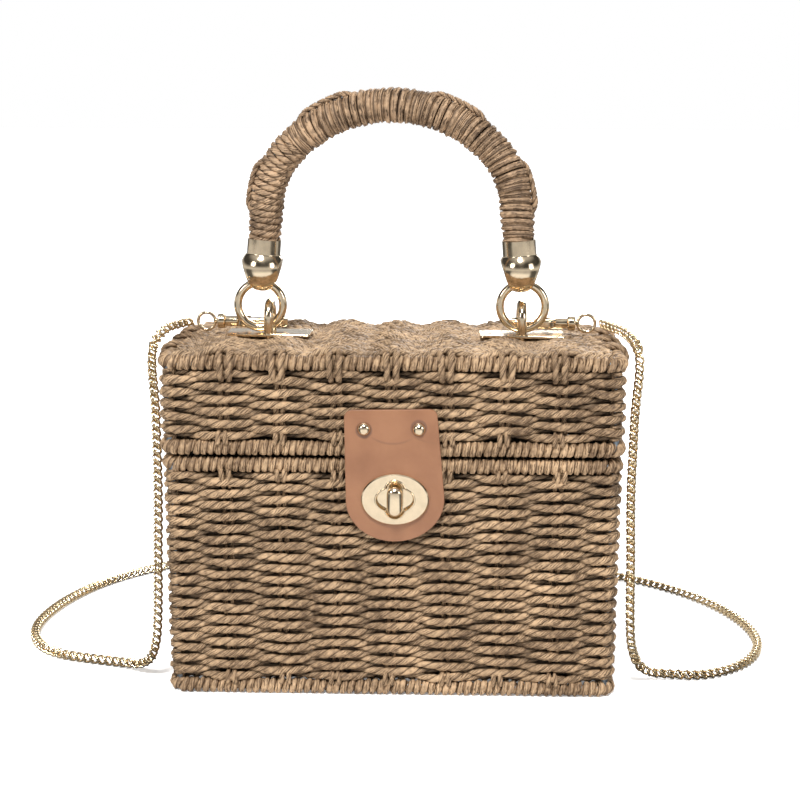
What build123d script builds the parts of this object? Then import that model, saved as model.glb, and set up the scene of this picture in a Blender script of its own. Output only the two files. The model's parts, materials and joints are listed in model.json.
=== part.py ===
"""Small box-shaped basket bag of woven paper rope with a hinged lid and a chain strap.

Millimetres, +Z up, +X to the bag's right as seen from the front, front towards -Y.
The pieces are drawn about the middle of the basket, then moved together by centre_y,
so that the origin is at the bottom centre of the bag without its chain.
"""
from build123d import *
import math
import os

# ---------------------------------------------------------------- driving dimensions
# outer sizes over the wrapped rims
lid_width = 201.4
lid_depth = 105.0
body_width = 200.0
body_depth = 104.0
foot_width = 198.0
foot_depth = 103.0

# heights of the four rims' wires
foot_rim_z = 3.3
body_rim_z = 103.7
lid_rim_z = 111.3
top_rim_z = 148.2

# rope-wrapped rims and the wire frame inside them
rim_radius = 3.5
wire_radius = 1.5
post_radius = 1.45
wire_corner = 5.0
wrap_clearance = 0.1

# woven walls
weave_thickness = 5.5
weave_inset = 0.6
seat_gap = 0.2
floor_bottom_z = 4.0
floor_top_z = 9.5
lid_top_z = 153.5
lid_panel_thickness = 5.0
lid_shoulder = 3.0
lid_shoulder_width = 6.0

# cloth lining
lining_thickness = 1.2
lining_gap = 0.3
body_lining_drop = 6.5
lid_lining_rise = 7.0

# rope lashings that hinge the lid
tie_width = 12.0
tie_thickness = 2.6
tie_gap = 0.3
tie_spacing = 70.0
tie_names = {"left": -1, "middle": 0, "right": 1}

# gold plates, staples and backing plates on the lid
plate_x = 57.4
plate_length = 38.0
plate_depth = 19.0
plate_thickness = 1.2
plate_corner = 1.0
staple_x = 57.1
staple_y = -0.35
staple_wire = 4.2
staple_leg_spacing = 13.5
staple_height = 15.3
stud_radius = 1.3
stud_clearance = 0.2
backing_length = 26.0
backing_depth = 19.0
backing_thickness = 0.8
stud_head_radius = 2.3
stud_head_height = 1.0

# rings between the staples and the handle
ring_wire = 3.7
ring_outer = 24.2
ring_y = -1.7
ring_rest_gap = 0.3
ring_outset = 1.2

# arched handle
handle_shift = -1.9
leg_half_spacing = 58.2
leg_lean = 4.5
leg_straight_z = 213.0
handle_top_z = 256.3
shoulder_radius = 39.5
handle_radius = 7.9
core_radius = 4.0
core_clearance = 0.05
strand_radius = 1.7
strand_sink = 0.4

# gold end caps of the handle
ball_radius = 10.1
ball_above_ring = 6.2
collar_outer = 7.5
collar_wall = 0.8
collar_top = 13.3
collar_floor = 6.5
collar_fit = 0.1
socket_depth = 7.5
ring_play = 0.3

# leather closing tab
tab_top_z = 130.8
tab_bottom_z = 71.8
tab_top_width = 39.0
tab_wide_width = 41.6
tab_round_height = 18.0
tab_top_corner = 3.0
tab_thickness = 1.9
tab_back_gap = 0.4
tab_lean = 3.0
rivet_z = 120.8
rivet_spacing = 23.4
rivet_head_radius = 2.9
rivet_head_height = 2.0
rivet_post_radius = 1.2
rivet_clearance = 0.2
rivet_washer_radius = 4.0
rivet_washer_thickness = 0.8
rivet_tail_radius = 1.9
rivet_tail_height = 0.8

# turn lock
lock_z = 90.3
eyelet_width = 29.0
eyelet_height = 22.4
eyelet_thickness = 1.4
eyelet_wall = 0.6
eyelet_back_width = 27.0
eyelet_back_height = 20.4
eyelet_back_thickness = 0.4
opening_width = 16.2
opening_height = 10.6
lobe_width = 8.0
lobe_height = 16.2
base_width = 26.0
base_height = 19.0
base_thickness = 0.7
platform_margin = 0.5
platform_height = 1.5
base_eyelet_gap = 0.2
housing_radius = 5.2
housing_wall = 0.7
housing_depth = 3.6
prong_x = 8.0
prong_width = 3.0
prong_thickness = 0.8
prong_clearance = 0.2
lock_washer_width = 26.0
lock_washer_height = 12.0
lock_washer_thickness = 0.8
prong_tail = 2.2
stem_radius = 2.4
stem_clearance = 0.05
stem_flange_radius = 3.6
stem_flange_thickness = 0.9
spring_radius = 4.1
spring_thickness = 0.5
spring_gap = 0.15
knob_width = 6.8
knob_length = 13.0
knob_thickness = 5.0
knob_lift = 0.5

# snap hooks of the chain, built for the right-hand side, mirrored for the left
hook_axis_y = 6.25
hook_axis_z = 158.5
hook_tip_x = 49.7
hook_eye_length = 23.8
hook_eye_width = 11.6
hook_arm = 2.85
hook_thickness = 4.2
hook_edge = 1.1
shank_radius = 2.4
shank_end_x = 78.2
gate_pivot_from_tip = 20.4
gate_tip_from_tip = 9.6
gate_gap = 0.3
gate_thickness = 2.4
gate_pin_radius = 0.7
pin_clearance = 0.05
gate_nub = 1.8
swivel_gap = 0.3
swivel_collar_radius = 3.4
swivel_collar_length = 3.6
swivel_stem_radius = 1.2
swivel_stem_length = 3.2
swivel_neck = 0.4
swivel_ring_outer = 9.4
swivel_ring_wire = 1.5

# chain strap, drawn as the tube that it fills
chain_diameter = 4.4
chain_arc_share = 0.45

# ---------------------------------------------------------------- helpers


def ring_bar(half, corner, z, radius, bore=0.0):
    """Closed round bar, or tube with a bore, that follows a rectangle with rounded corners."""
    path = Pos(0, 0, z) * RectangleRounded(2 * half[0], 2 * half[1], corner).face().outer_wire()
    section = Circle(radius) - Circle(bore) if bore else Circle(radius)
    return sweep(Plane(origin=path @ 0, z_dir=path % 0) * section, path=path)


def block(half_low, half_high, z_low, z_high, corner):
    """Upright block with rounded corners, lofted from a low to a high outline."""
    low = Pos(0, 0, z_low) * RectangleRounded(2 * half_low[0], 2 * half_low[1], corner)
    high = Pos(0, 0, z_high) * RectangleRounded(2 * half_high[0], 2 * half_high[1], corner)
    return loft([low.face(), high.face()])


def shrink(half, amount):
    return (half[0] - amount, half[1] - amount)


def front_plate(outline, y_back, thickness):
    """Flat plate drawn in X and Z, from its back face towards the front."""
    return extrude(Plane(origin=(0, y_back, 0), x_dir=(1, 0, 0), z_dir=(0, -1, 0)) * outline, thickness)


def rod_between(start, end, radius):
    path = Line(start, end)
    return sweep(Plane(origin=start, z_dir=path % 0) * Circle(radius), path=path)


def write(name, shape):
    """Move a piece onto the shared origin and write it out as one solid."""
    solid = shape.solids().sort_by(SortBy.VOLUME)[-1]
    export_step(Pos(0, centre_y, 0) * solid, f"parts/{name}.step")


# ---------------------------------------------------------------- places worked out from the sizes
foot_half = (foot_width / 2 - rim_radius, foot_depth / 2 - rim_radius)
body_half = (body_width / 2 - rim_radius, body_depth / 2 - rim_radius)
lid_half = (lid_width / 2 - rim_radius, lid_depth / 2 - rim_radius)


def body_wall_half(z):
    """Half sizes of the woven wall's outer face, which narrows towards the foot."""
    share = (z - foot_rim_z) / (body_rim_z - foot_rim_z)
    out = rim_radius - weave_inset
    return tuple(low + (high - low) * share + out for low, high in zip(foot_half, body_half))


lid_wall_half = (lid_half[0] + rim_radius - weave_inset, lid_half[1] + rim_radius - weave_inset)
wall_corner = wire_corner + rim_radius - weave_inset
cavity_corner = wall_corner - weave_thickness
seat = rim_radius + seat_gap

lid_front_y = -lid_depth / 2
tab_back_y = lid_front_y - tab_back_gap
tab_front_y = tab_back_y - tab_thickness
body_lock_face_y = -body_wall_half(lock_z)[1]
lid_rivet_face_y = -lid_wall_half[1]
lock_x = (rivet_z - lock_z) * math.tan(math.radians(tab_lean))
eyelet_back_y = tab_back_y + eyelet_back_thickness
base_front_y = eyelet_back_y + base_eyelet_gap
base_back_y = base_front_y + base_thickness
eyelet_front_y = tab_front_y - eyelet_thickness
knob_back_y = eyelet_front_y - knob_lift
knob_front_y = knob_back_y - knob_thickness

tie_reach = rim_radius + tie_gap + tie_thickness
back_reach = lid_half[1] + tie_reach
centre_y = (-knob_front_y - back_reach) / 2

plate_top_z = lid_top_z + plate_thickness
ring_radius = (ring_outer - ring_wire) / 2
ring_foot_z = plate_top_z + ring_rest_gap + ring_wire / 2
ring_centre_z = ring_foot_z + ring_radius
ring_top_z = ring_centre_z + ring_radius
ball_z = ring_top_z + ball_above_ring

os.makedirs("parts", exist_ok=True)
pieces = {}
sides = {"left": -1, "right": 1}

# ---------------------------------------------------------------- wire frames
# Each frame is two bent rings of coated wire with a welded post at every corner.
post_inset = wire_corner * (1 - math.cos(math.radians(45)))


def corner_posts(low_half, low_z, high_half, high_z, radius):
    posts = []
    for sx in (-1, 1):
        for sy in (-1, 1):
            low = (sx * (low_half[0] - post_inset), sy * (low_half[1] - post_inset), low_z)
            high = (sx * (high_half[0] - post_inset), sy * (high_half[1] - post_inset), high_z)
            posts.append(rod_between(low, high, radius))
    return posts


def wire_frame(low_half, low_z, high_half, high_z):
    frame = ring_bar(low_half, wire_corner, low_z, wire_radius)
    frame += ring_bar(high_half, wire_corner, high_z, wire_radius)
    for post in corner_posts(low_half, low_z, high_half, high_z, post_radius):
        frame += post
    return frame


wrap_bore = wire_radius + wrap_clearance
pieces["body_frame"] = wire_frame(foot_half, foot_rim_z, body_half, body_rim_z)
pieces["lid_frame"] = wire_frame(lid_half, lid_rim_z, lid_half, top_rim_z)
body_posts_room = corner_posts(foot_half, foot_rim_z, body_half, body_rim_z, wrap_bore)
lid_posts_room = corner_posts(lid_half, lid_rim_z, lid_half, top_rim_z, wrap_bore)

# ---------------------------------------------------------------- rope wraps of the rims


def rim_wrap(half, z, posts):
    return ring_bar(half, wire_corner, z, rim_radius, wrap_bore) - posts


under_floor = Pos(0, 0, -rim_radius) * Box(2 * foot_width, 2 * foot_depth, 2 * rim_radius)
pieces["body_bottom_rim"] = rim_wrap(foot_half, foot_rim_z, body_posts_room) - under_floor
pieces["body_top_rim"] = rim_wrap(body_half, body_rim_z, body_posts_room)
pieces["lid_bottom_rim"] = rim_wrap(lid_half, lid_rim_z, lid_posts_room)
pieces["lid_top_rim"] = rim_wrap(lid_half, top_rim_z, lid_posts_room)

# ---------------------------------------------------------------- hinge lashings


def capsule(start, end, radius):
    """Outline in the YZ plane round two equal circles."""
    length = math.dist(start, end)
    turn = math.degrees(math.atan2(end[1] - start[1], end[0] - start[0]))
    middle = ((start[0] + end[0]) / 2, (start[1] + end[1]) / 2)
    return Pos(*middle) * Rot(0, 0, turn) * SlotCenterToCenter(length, 2 * radius)


def tie_loop(x, extra):
    """Flat lashing round both rims, grown on every side by extra."""
    low = (body_half[1], body_rim_z)
    high = (lid_half[1], lid_rim_z)
    band = capsule(low, high, tie_reach + extra) - capsule(low, high, tie_reach - tie_thickness - extra)
    width = tie_width + 2 * extra
    return extrude(Plane(origin=(x - width / 2, 0, 0), x_dir=(0, 1, 0), z_dir=(1, 0, 0)) * band, width)


tie_room = None
for name, place in tie_names.items():
    pieces[f"hinge_tie_{name}"] = tie_loop(place * tie_spacing, 0)
    room = tie_loop(place * tie_spacing, tie_gap / 2)
    tie_room = room if tie_room is None else tie_room + room

# ---------------------------------------------------------------- turn lock on the basket


def cross_opening(margin):
    """Four-lobed opening of the eyelet, made smaller on every side by margin."""
    wide = Ellipse(opening_width / 2 - margin, opening_height / 2 - margin)
    tall = SlotOverall(lobe_height - 2 * margin, lobe_width - 2 * margin, rotation=90)
    return wide + tall


def at_lock(outline):
    return Pos(lock_x, lock_z) * outline


inner_wall_y = body_lock_face_y + weave_thickness
lock_washer_y = inner_wall_y + lining_gap + lining_thickness + seat_gap
prong_end_y = lock_washer_y + lock_washer_thickness

lock_base = front_plate(at_lock(Ellipse(base_width / 2, base_height / 2)), base_back_y, base_thickness)
lock_base += front_plate(at_lock(cross_opening(platform_margin)), base_front_y, platform_height)
lock_base += front_plate(at_lock(Circle(housing_radius)), base_back_y + housing_depth, housing_depth)
lock_base -= front_plate(at_lock(Circle(housing_radius - housing_wall)), base_back_y + housing_depth,
                         housing_depth)
lock_base -= front_plate(at_lock(Circle(stem_radius + stem_clearance)), base_back_y, 9)
prong_room = None
for sx in (-1, 1):
    outline = Pos(lock_x + sx * prong_x, lock_z) * Rectangle(prong_thickness, prong_width)
    tail_outline = Pos(lock_x + sx * (prong_x + prong_tail / 2), lock_z) * Rectangle(
        prong_tail + prong_thickness, prong_width)
    slot_outline = Pos(lock_x + sx * prong_x, lock_z) * Rectangle(
        prong_thickness + 2 * prong_clearance, prong_width + 2 * prong_clearance)
    lock_base += front_plate(outline, prong_end_y, prong_end_y - base_back_y)
    lock_base += front_plate(tail_outline, prong_end_y + prong_thickness, prong_thickness)
    slot = front_plate(slot_outline, prong_end_y + 1, prong_end_y + 1 - base_back_y)
    prong_room = slot if prong_room is None else prong_room + slot
pieces["lock_base"] = lock_base
pieces["lock_washer"] = front_plate(
    at_lock(RectangleRounded(lock_washer_width, lock_washer_height, 2)), prong_end_y, lock_washer_thickness
) - prong_room
housing_room = front_plate(at_lock(Circle(housing_radius + seat_gap)), base_back_y + housing_depth + seat_gap,
                           housing_depth + seat_gap)

spring_back_y = base_back_y + spring_gap + spring_thickness
pieces["lock_spring"] = front_plate(
    at_lock(Circle(spring_radius) - Circle(stem_radius + 2 * stem_clearance)), spring_back_y, spring_thickness)

flange_back_y = spring_back_y + spring_gap + stem_flange_thickness
bar = front_plate(at_lock(SlotOverall(knob_length, knob_width, rotation=90)), knob_back_y, knob_thickness)
bar_front = bar.edges().filter_by_position(Axis.Y, knob_front_y - 0.01, knob_front_y + 0.01)
bar = fillet(bar_front, 2.6)
stem = front_plate(at_lock(Circle(stem_radius)), flange_back_y, flange_back_y - knob_back_y)
flange = front_plate(at_lock(Circle(stem_flange_radius)), flange_back_y, stem_flange_thickness)
pieces["knob"] = bar + stem + flange

# ---------------------------------------------------------------- woven walls and linings
body_wall_low = foot_rim_z + seat
body_wall_high = body_rim_z - seat
body_weave = block(body_wall_half(body_wall_low), body_wall_half(body_wall_high), body_wall_low,
                   body_wall_high, wall_corner)
body_weave -= block(shrink(body_wall_half(floor_top_z), weave_thickness),
                    shrink(body_wall_half(body_wall_high), weave_thickness), floor_top_z, body_wall_high,
                    cavity_corner)
floor_half = shrink(foot_half, rim_radius + seat_gap)
body_weave += block(floor_half, floor_half, floor_bottom_z, body_wall_low, cavity_corner)
pieces["body_weave"] = body_weave - body_posts_room - tie_room - prong_room - housing_room

lining_step = weave_thickness + lining_gap
lining_low = floor_top_z + lining_gap
lining_high = body_wall_high - body_lining_drop + rim_radius
body_lining = block(shrink(body_wall_half(lining_low), lining_step),
                    shrink(body_wall_half(lining_high), lining_step), lining_low, lining_high, cavity_corner)
inner_step = lining_step + lining_thickness
body_lining -= block(shrink(body_wall_half(lining_low), inner_step),
                     shrink(body_wall_half(lining_high), inner_step), lining_low + lining_thickness,
                     lining_high, cavity_corner)
pieces["body_lining"] = body_lining - prong_room - tie_room

lid_wall_low = lid_rim_z + seat
lid_wall_high = top_rim_z - seat
panel_half = shrink(lid_half, rim_radius + 2 * seat_gap)
panel_under_z = lid_top_z - lid_panel_thickness
shoulder_z = lid_wall_high - lid_shoulder
hollow_half = shrink(lid_wall_half, weave_thickness)
upper_half = shrink(hollow_half, lid_shoulder_width)
lid_weave = block(lid_wall_half, lid_wall_half, lid_wall_low, lid_wall_high, wall_corner)
lid_weave += block(panel_half, panel_half, lid_wall_high, lid_top_z, cavity_corner)
lid_weave -= block(hollow_half, hollow_half, lid_wall_low, shoulder_z, cavity_corner)
lid_weave -= block(upper_half, upper_half, shoulder_z, panel_under_z, cavity_corner)
lid_weave = lid_weave - lid_posts_room - tie_room

lid_lining_low = lid_wall_low + lid_lining_rise - rim_radius
lining_outer = shrink(hollow_half, lining_gap)
lining_upper = shrink(upper_half, lining_gap)
lid_lining = block(lining_outer, lining_outer, lid_lining_low, shoulder_z - lining_gap, cavity_corner)
lid_lining += block(lining_upper, lining_upper, shoulder_z - lining_gap, panel_under_z - lining_gap,
                    cavity_corner)
lining_inner = shrink(lining_outer, lining_thickness)
lining_inner_upper = shrink(lining_upper, lining_thickness)
lining_shoulder_z = shoulder_z - lining_gap - lining_thickness
lining_under_z = panel_under_z - lining_gap - lining_thickness
lid_lining -= block(lining_inner, lining_inner, lid_lining_low, lining_shoulder_z, cavity_corner)
lid_lining -= block(lining_inner_upper, lining_inner_upper, lining_shoulder_z, lining_under_z, cavity_corner)
lid_lining -= tie_room

# ---------------------------------------------------------------- plates and staples on the lid
staple_radius = staple_wire / 2
crown_radius = staple_leg_spacing / 2
backing_z = lining_under_z - seat_gap - backing_thickness


def staple_path(x):
    low = plate_top_z
    shoulder = plate_top_z + staple_height - staple_radius - crown_radius
    front_y = staple_y - crown_radius
    back_y = staple_y + crown_radius
    front = Line((x, front_y, low), (x, front_y, shoulder))
    crown = ThreePointArc((x, front_y, shoulder), (x, staple_y, shoulder + crown_radius), (x, back_y, shoulder))
    back = Line((x, back_y, shoulder), (x, back_y, low))
    return front + crown + back


for name, side in sides.items():
    x = side * staple_x
    stud_room = None
    staple_start = Plane(origin=(x, staple_y - crown_radius, plate_top_z), z_dir=(0, 0, 1))
    staple = sweep(staple_start * Circle(staple_radius), path=staple_path(x))
    for leg in (-1, 1):
        foot = (x, staple_y + leg * crown_radius)
        stud_length = plate_top_z - backing_z
        staple += Pos(*foot, backing_z + stud_length / 2) * Cylinder(stud_radius, stud_length)
        staple += Pos(*foot, backing_z - stud_head_height / 2) * Cylinder(stud_head_radius, stud_head_height)
        hole = Pos(*foot, backing_z + stud_length / 2) * Cylinder(stud_radius + stud_clearance, stud_length)
        stud_room = hole if stud_room is None else stud_room + hole
    pieces[f"staple_{name}"] = staple
    plate = Pos(side * plate_x, 0, lid_top_z) * extrude(
        RectangleRounded(plate_length, plate_depth, plate_corner), plate_thickness)
    pieces[f"plate_{name}"] = plate - stud_room
    backing = Pos(x, 0, backing_z) * extrude(RectangleRounded(backing_length, backing_depth, 2),
                                             backing_thickness)
    pieces[f"backing_{name}"] = backing - stud_room
    lid_weave -= stud_room
    lid_lining -= stud_room

# ---------------------------------------------------------------- leather tab, its rivets and the eyelet
tab_wide_z = tab_bottom_z + tab_round_height
tab_outline = Polyline(
    (-tab_wide_width / 2, tab_wide_z), (-tab_top_width / 2, tab_top_z), (tab_top_width / 2, tab_top_z),
    (tab_wide_width / 2, tab_wide_z))
tab_round = EllipticalCenterArc((0, tab_wide_z), tab_wide_width / 2, tab_round_height, start_angle=180,
                                arc_size=180)
tab_face = make_face(tab_outline + tab_round)
tab_face = fillet(tab_face.vertices().group_by(Axis.Y)[-1], tab_top_corner)
lean = Pos(0, rivet_z) * Rot(0, 0, tab_lean) * Pos(0, -rivet_z)
sleeve_outline = at_lock(cross_opening(-eyelet_wall))
sleeve_room = at_lock(cross_opening(-eyelet_wall - prong_clearance))
leather = front_plate(lean * tab_face, tab_back_y, tab_thickness)
leather -= front_plate(sleeve_room, tab_back_y + 1, tab_thickness + 2)

eyelet_front = front_plate(at_lock(Ellipse(eyelet_width / 2, eyelet_height / 2)), tab_front_y,
                           eyelet_thickness)
eyelet_front += front_plate(sleeve_outline, eyelet_back_y, eyelet_back_y - tab_front_y)
eyelet_front -= front_plate(at_lock(cross_opening(0)), eyelet_back_y + 1, 5)
face_edges = eyelet_front.faces().sort_by(Axis.Y)[0].outer_wire().edges()
pieces["eyelet_front"] = chamfer(face_edges, 0.5)
eyelet_back = front_plate(at_lock(Ellipse(eyelet_back_width / 2, eyelet_back_height / 2)), eyelet_back_y,
                          eyelet_back_thickness)
pieces["eyelet_back"] = eyelet_back - front_plate(
    at_lock(cross_opening(-eyelet_wall - seat_gap / 4)), eyelet_back_y + 1, 5)

rivet_inner_y = lid_rivet_face_y + weave_thickness + lining_gap + lining_thickness + seat_gap
rivet_back_y = rivet_inner_y + rivet_washer_thickness
for name, side in sides.items():
    x = side * rivet_spacing / 2
    place = Pos(x, rivet_z)
    dome_sphere = (rivet_head_radius ** 2 + rivet_head_height ** 2) / (2 * rivet_head_height)
    dome = Pos(x, tab_front_y - rivet_head_height + dome_sphere, rivet_z) * Sphere(dome_sphere)
    dome = dome & front_plate(place * Circle(rivet_head_radius + 1), tab_front_y, rivet_head_height + 1)
    post = front_plate(place * Circle(rivet_post_radius), rivet_back_y, rivet_back_y - tab_front_y)
    tail = front_plate(place * Circle(rivet_tail_radius), rivet_back_y + rivet_tail_height,
                       rivet_tail_height)
    pieces[f"tab_rivet_{name}"] = dome + post + tail
    washer = front_plate(place * Circle(rivet_washer_radius), rivet_back_y, rivet_washer_thickness)
    rivet_room = front_plate(place * Circle(rivet_post_radius + rivet_clearance), rivet_back_y + 1,
                             rivet_back_y + 1 - tab_front_y + 1)
    pieces[f"rivet_washer_{name}"] = washer - rivet_room
    leather -= rivet_room
    lid_weave -= rivet_room
    lid_lining -= rivet_room
pieces["leather_tab"] = leather
pieces["lid_weave"] = lid_weave
pieces["lid_lining"] = lid_lining

# ---------------------------------------------------------------- rings and the arched handle
for name, side in sides.items():
    x = handle_shift + side * (leg_half_spacing + ring_outset)
    pieces[f"o_ring_{name}"] = Pos(x, ring_y, ring_centre_z) * Rot(90, 0, 0) * Torus(
        ring_radius, ring_wire / 2)

lean_angle = math.radians(leg_lean)
straight_x = leg_half_spacing - (leg_straight_z - ball_z) * math.tan(lean_angle)
shoulder_x = straight_x - shoulder_radius * math.cos(lean_angle)
shoulder_z0 = leg_straight_z - shoulder_radius * math.sin(lean_angle)
rise = handle_top_z - shoulder_radius - shoulder_z0
between_centres = (shoulder_x ** 2 + rise ** 2) / (2 * rise)
crown_arc_radius = shoulder_radius + between_centres
crown_z0 = handle_top_z - crown_arc_radius
meet_x = crown_arc_radius * shoulder_x / between_centres
meet_z = crown_z0 + crown_arc_radius * (between_centres - rise) / between_centres
shoulder_mid = math.radians(0.5 * (-leg_lean + math.degrees(math.atan2(meet_z - shoulder_z0,
                                                                      meet_x - shoulder_x))))


def handle_point(x, z):
    return (handle_shift + x, ring_y, z)


def handle_path(start_along):
    """Arch from the left leg to the right, starting start_along above each ball's centre."""
    foot_x = leg_half_spacing - start_along * math.sin(lean_angle)
    foot_z = ball_z + start_along * math.cos(lean_angle)
    mid_x = shoulder_x + shoulder_radius * math.cos(shoulder_mid)
    mid_z = shoulder_z0 + shoulder_radius * math.sin(shoulder_mid)
    start_x = shoulder_x + shoulder_radius * math.cos(lean_angle)
    start_z = shoulder_z0 + shoulder_radius * math.sin(lean_angle)
    path = Line(handle_point(-foot_x, foot_z), handle_point(-start_x, start_z))
    path += ThreePointArc(handle_point(-start_x, start_z), handle_point(-mid_x, mid_z),
                          handle_point(-meet_x, meet_z))
    path += ThreePointArc(handle_point(-meet_x, meet_z), handle_point(0, handle_top_z),
                          handle_point(meet_x, meet_z))
    path += ThreePointArc(handle_point(meet_x, meet_z), handle_point(mid_x, mid_z),
                          handle_point(start_x, start_z))
    path += Line(handle_point(start_x, start_z), handle_point(foot_x, foot_z))
    return path


def handle_tube(start_along, radius):
    path = handle_path(start_along)
    start = path @ 0
    return sweep(Plane(origin=start, z_dir=path % 0) * Circle(radius), path=path)


core_start = collar_floor - socket_depth + collar_fit
wrap_start = collar_floor + collar_fit
collar_inner = collar_outer - collar_wall
pieces["handle_core"] = handle_tube(core_start, core_radius)
wrap = handle_tube(wrap_start, handle_radius) - handle_tube(wrap_start - 1, core_radius + core_clearance)
for side in sides.values():
    neck = Pos(handle_shift + side * leg_half_spacing, ring_y, ball_z) * Rot(0, -side * leg_lean, 0)
    sheath_height = collar_top + seat_gap - wrap_start + 1
    sheath = Cylinder(handle_radius + 1, sheath_height) - Cylinder(collar_inner - collar_fit, sheath_height)
    wrap -= neck * Pos(0, 0, wrap_start - 1 + sheath_height / 2) * sheath
pieces["handle_wrap"] = wrap

# decorative strand that rides along the outside of the arch
strand_offset = handle_radius + strand_radius - strand_sink
strand_crown = crown_arc_radius + strand_offset
strand_shoulder = shoulder_radius + strand_offset
strand_meet = (shoulder_x + strand_shoulder * shoulder_x / between_centres,
               shoulder_z0 + strand_shoulder * (between_centres - rise) / between_centres)
strand_mid = (shoulder_x + strand_shoulder * math.cos(shoulder_mid),
              shoulder_z0 + strand_shoulder * math.sin(shoulder_mid))
strand_start = (shoulder_x + strand_shoulder, shoulder_z0)
strand_path = ThreePointArc(handle_point(-strand_start[0], strand_start[1]),
                            handle_point(-strand_mid[0], strand_mid[1]),
                            handle_point(-strand_meet[0], strand_meet[1]))
strand_path += ThreePointArc(handle_point(-strand_meet[0], strand_meet[1]),
                             handle_point(0, crown_z0 + strand_crown),
                             handle_point(strand_meet[0], strand_meet[1]))
strand_path += ThreePointArc(handle_point(strand_meet[0], strand_meet[1]),
                             handle_point(strand_mid[0], strand_mid[1]),
                             handle_point(strand_start[0], strand_start[1]))
strand = sweep(Plane(origin=strand_path @ 0, z_dir=strand_path % 0) * Circle(strand_radius), path=strand_path)
pieces["handle_strand"] = strand - handle_tube(wrap_start, handle_radius + seat_gap / 2)

# end caps: a collar that holds the rope's end, and a ball with a flared eye for the ring
eye_radius = ring_wire / 2 + ring_play


def flare_radius(x):
    """Room the ring needs about the swing axis at a distance x from the ball's middle."""
    worst = min(x + ring_outset, ring_radius * 0.97)
    drop = ring_radius - math.sqrt(ring_radius ** 2 - worst ** 2)
    tilt = math.sqrt(1 - (worst / ring_radius) ** 2)
    return drop + eye_radius / tilt


flare_stations = [0, 1.5, 3.0, 4.5, 6.0, 7.2]
flare_edge = [(x, flare_radius(x)) for x in flare_stations]
flare_half = make_face(Polyline((0, 0), *flare_edge, (flare_stations[-1] + 4, flare_edge[-1][1] + 5),
                                (flare_stations[-1] + 4, 0), close=True))
flare_solid = revolve(Plane.XZ * flare_half, Axis.X, 360)
flare_solid += mirror(flare_solid, about=Plane.YZ)

for name, side in sides.items():
    ball_place = Pos(handle_shift + side * leg_half_spacing, ring_y, ball_z)
    turned = ball_place * Rot(0, -side * leg_lean, 0)
    cap = turned * Sphere(ball_radius)
    cap += turned * Pos(0, 0, collar_top / 2) * Cylinder(collar_outer, collar_top)
    cap -= turned * Pos(0, 0, (collar_floor + collar_top) / 2 + 0.5) * Cylinder(
        collar_inner, collar_top - collar_floor + 1)
    cap -= turned * Pos(0, 0, collar_floor - socket_depth / 2) * Cylinder(core_radius + core_clearance,
                                                                         socket_depth)
    cap -= Pos(handle_shift + side * leg_half_spacing, ring_y, ring_top_z) * flare_solid
    pieces[f"cap_{name}"] = cap.solids().sort_by(SortBy.VOLUME)[-1]

# ---------------------------------------------------------------- snap hooks of the chain
eye_back_x = hook_tip_x + hook_eye_length
pivot_x = hook_tip_x + gate_pivot_from_tip
gate_tip_x = hook_tip_x + gate_tip_from_tip
arm_y = hook_axis_y + hook_eye_width / 2 - hook_arm / 2
eye_middle_x = (hook_tip_x + eye_back_x) / 2

eye_outline = SlotOverall(hook_eye_length, hook_eye_width)
eye_hole = SlotOverall(hook_eye_length - 2 * hook_arm, hook_eye_width - 2 * hook_arm)
eye = extrude(Plane.XY * eye_outline, hook_thickness / 2, both=True)
eye = fillet(eye.edges().filter_by(GeomType.LINE, reverse=True) + eye.edges().filter_by(Axis.X), hook_edge)
eye -= extrude(Plane.XY * eye_hole, hook_thickness, both=True)
hook = Pos(eye_middle_x, hook_axis_y, hook_axis_z) * eye
shank_length = shank_end_x - eye_back_x + hook_arm / 2
shank = Pos(shank_end_x - shank_length / 2, hook_axis_y, hook_axis_z) * Rot(0, 90, 0) * Cylinder(
    shank_radius, shank_length)
hook += shank
gate_gap_length = pivot_x - gate_tip_x + hook_arm / 2 + 2 * gate_gap
gap_middle_x = (gate_tip_x - gate_gap + pivot_x + hook_arm / 2 + gate_gap) / 2
hook -= Pos(gap_middle_x, arm_y, hook_axis_z) * Box(gate_gap_length, hook_arm + 2, gate_thickness + 2 * gate_gap)
hook -= Pos((gate_tip_x - gate_gap + pivot_x - hook_arm) / 2, arm_y, hook_axis_z) * Box(
    pivot_x - hook_arm - gate_tip_x + gate_gap, hook_arm + 2, hook_thickness + 1)
bore_depth = swivel_stem_length + swivel_gap
hook -= Pos(shank_end_x - bore_depth / 2, hook_axis_y, hook_axis_z) * Rot(0, 90, 0) * Cylinder(
    swivel_stem_radius + pin_clearance, bore_depth)
hook -= Pos(pivot_x, arm_y, hook_axis_z) * Cylinder(gate_pin_radius + pin_clearance, hook_thickness + 1)
pin = Pos(pivot_x, arm_y, hook_axis_z) * Cylinder(gate_pin_radius, hook_thickness - 0.2)

gate_length = pivot_x - gate_tip_x
gate = Pos((pivot_x + gate_tip_x) / 2, arm_y, hook_axis_z) * Box(gate_length, hook_arm - 2 * gate_gap,
                                                                gate_thickness)
gate += Pos(pivot_x, arm_y, hook_axis_z) * Cylinder(hook_arm / 2 - gate_gap / 2, gate_thickness)
gate += Pos(pivot_x - 2 * hook_arm, arm_y + hook_arm / 2 - gate_gap, hook_axis_z) * Cylinder(
    gate_nub, gate_thickness)
gate -= Pos(pivot_x, arm_y, hook_axis_z) * Cylinder(gate_pin_radius + pin_clearance, hook_thickness)

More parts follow.
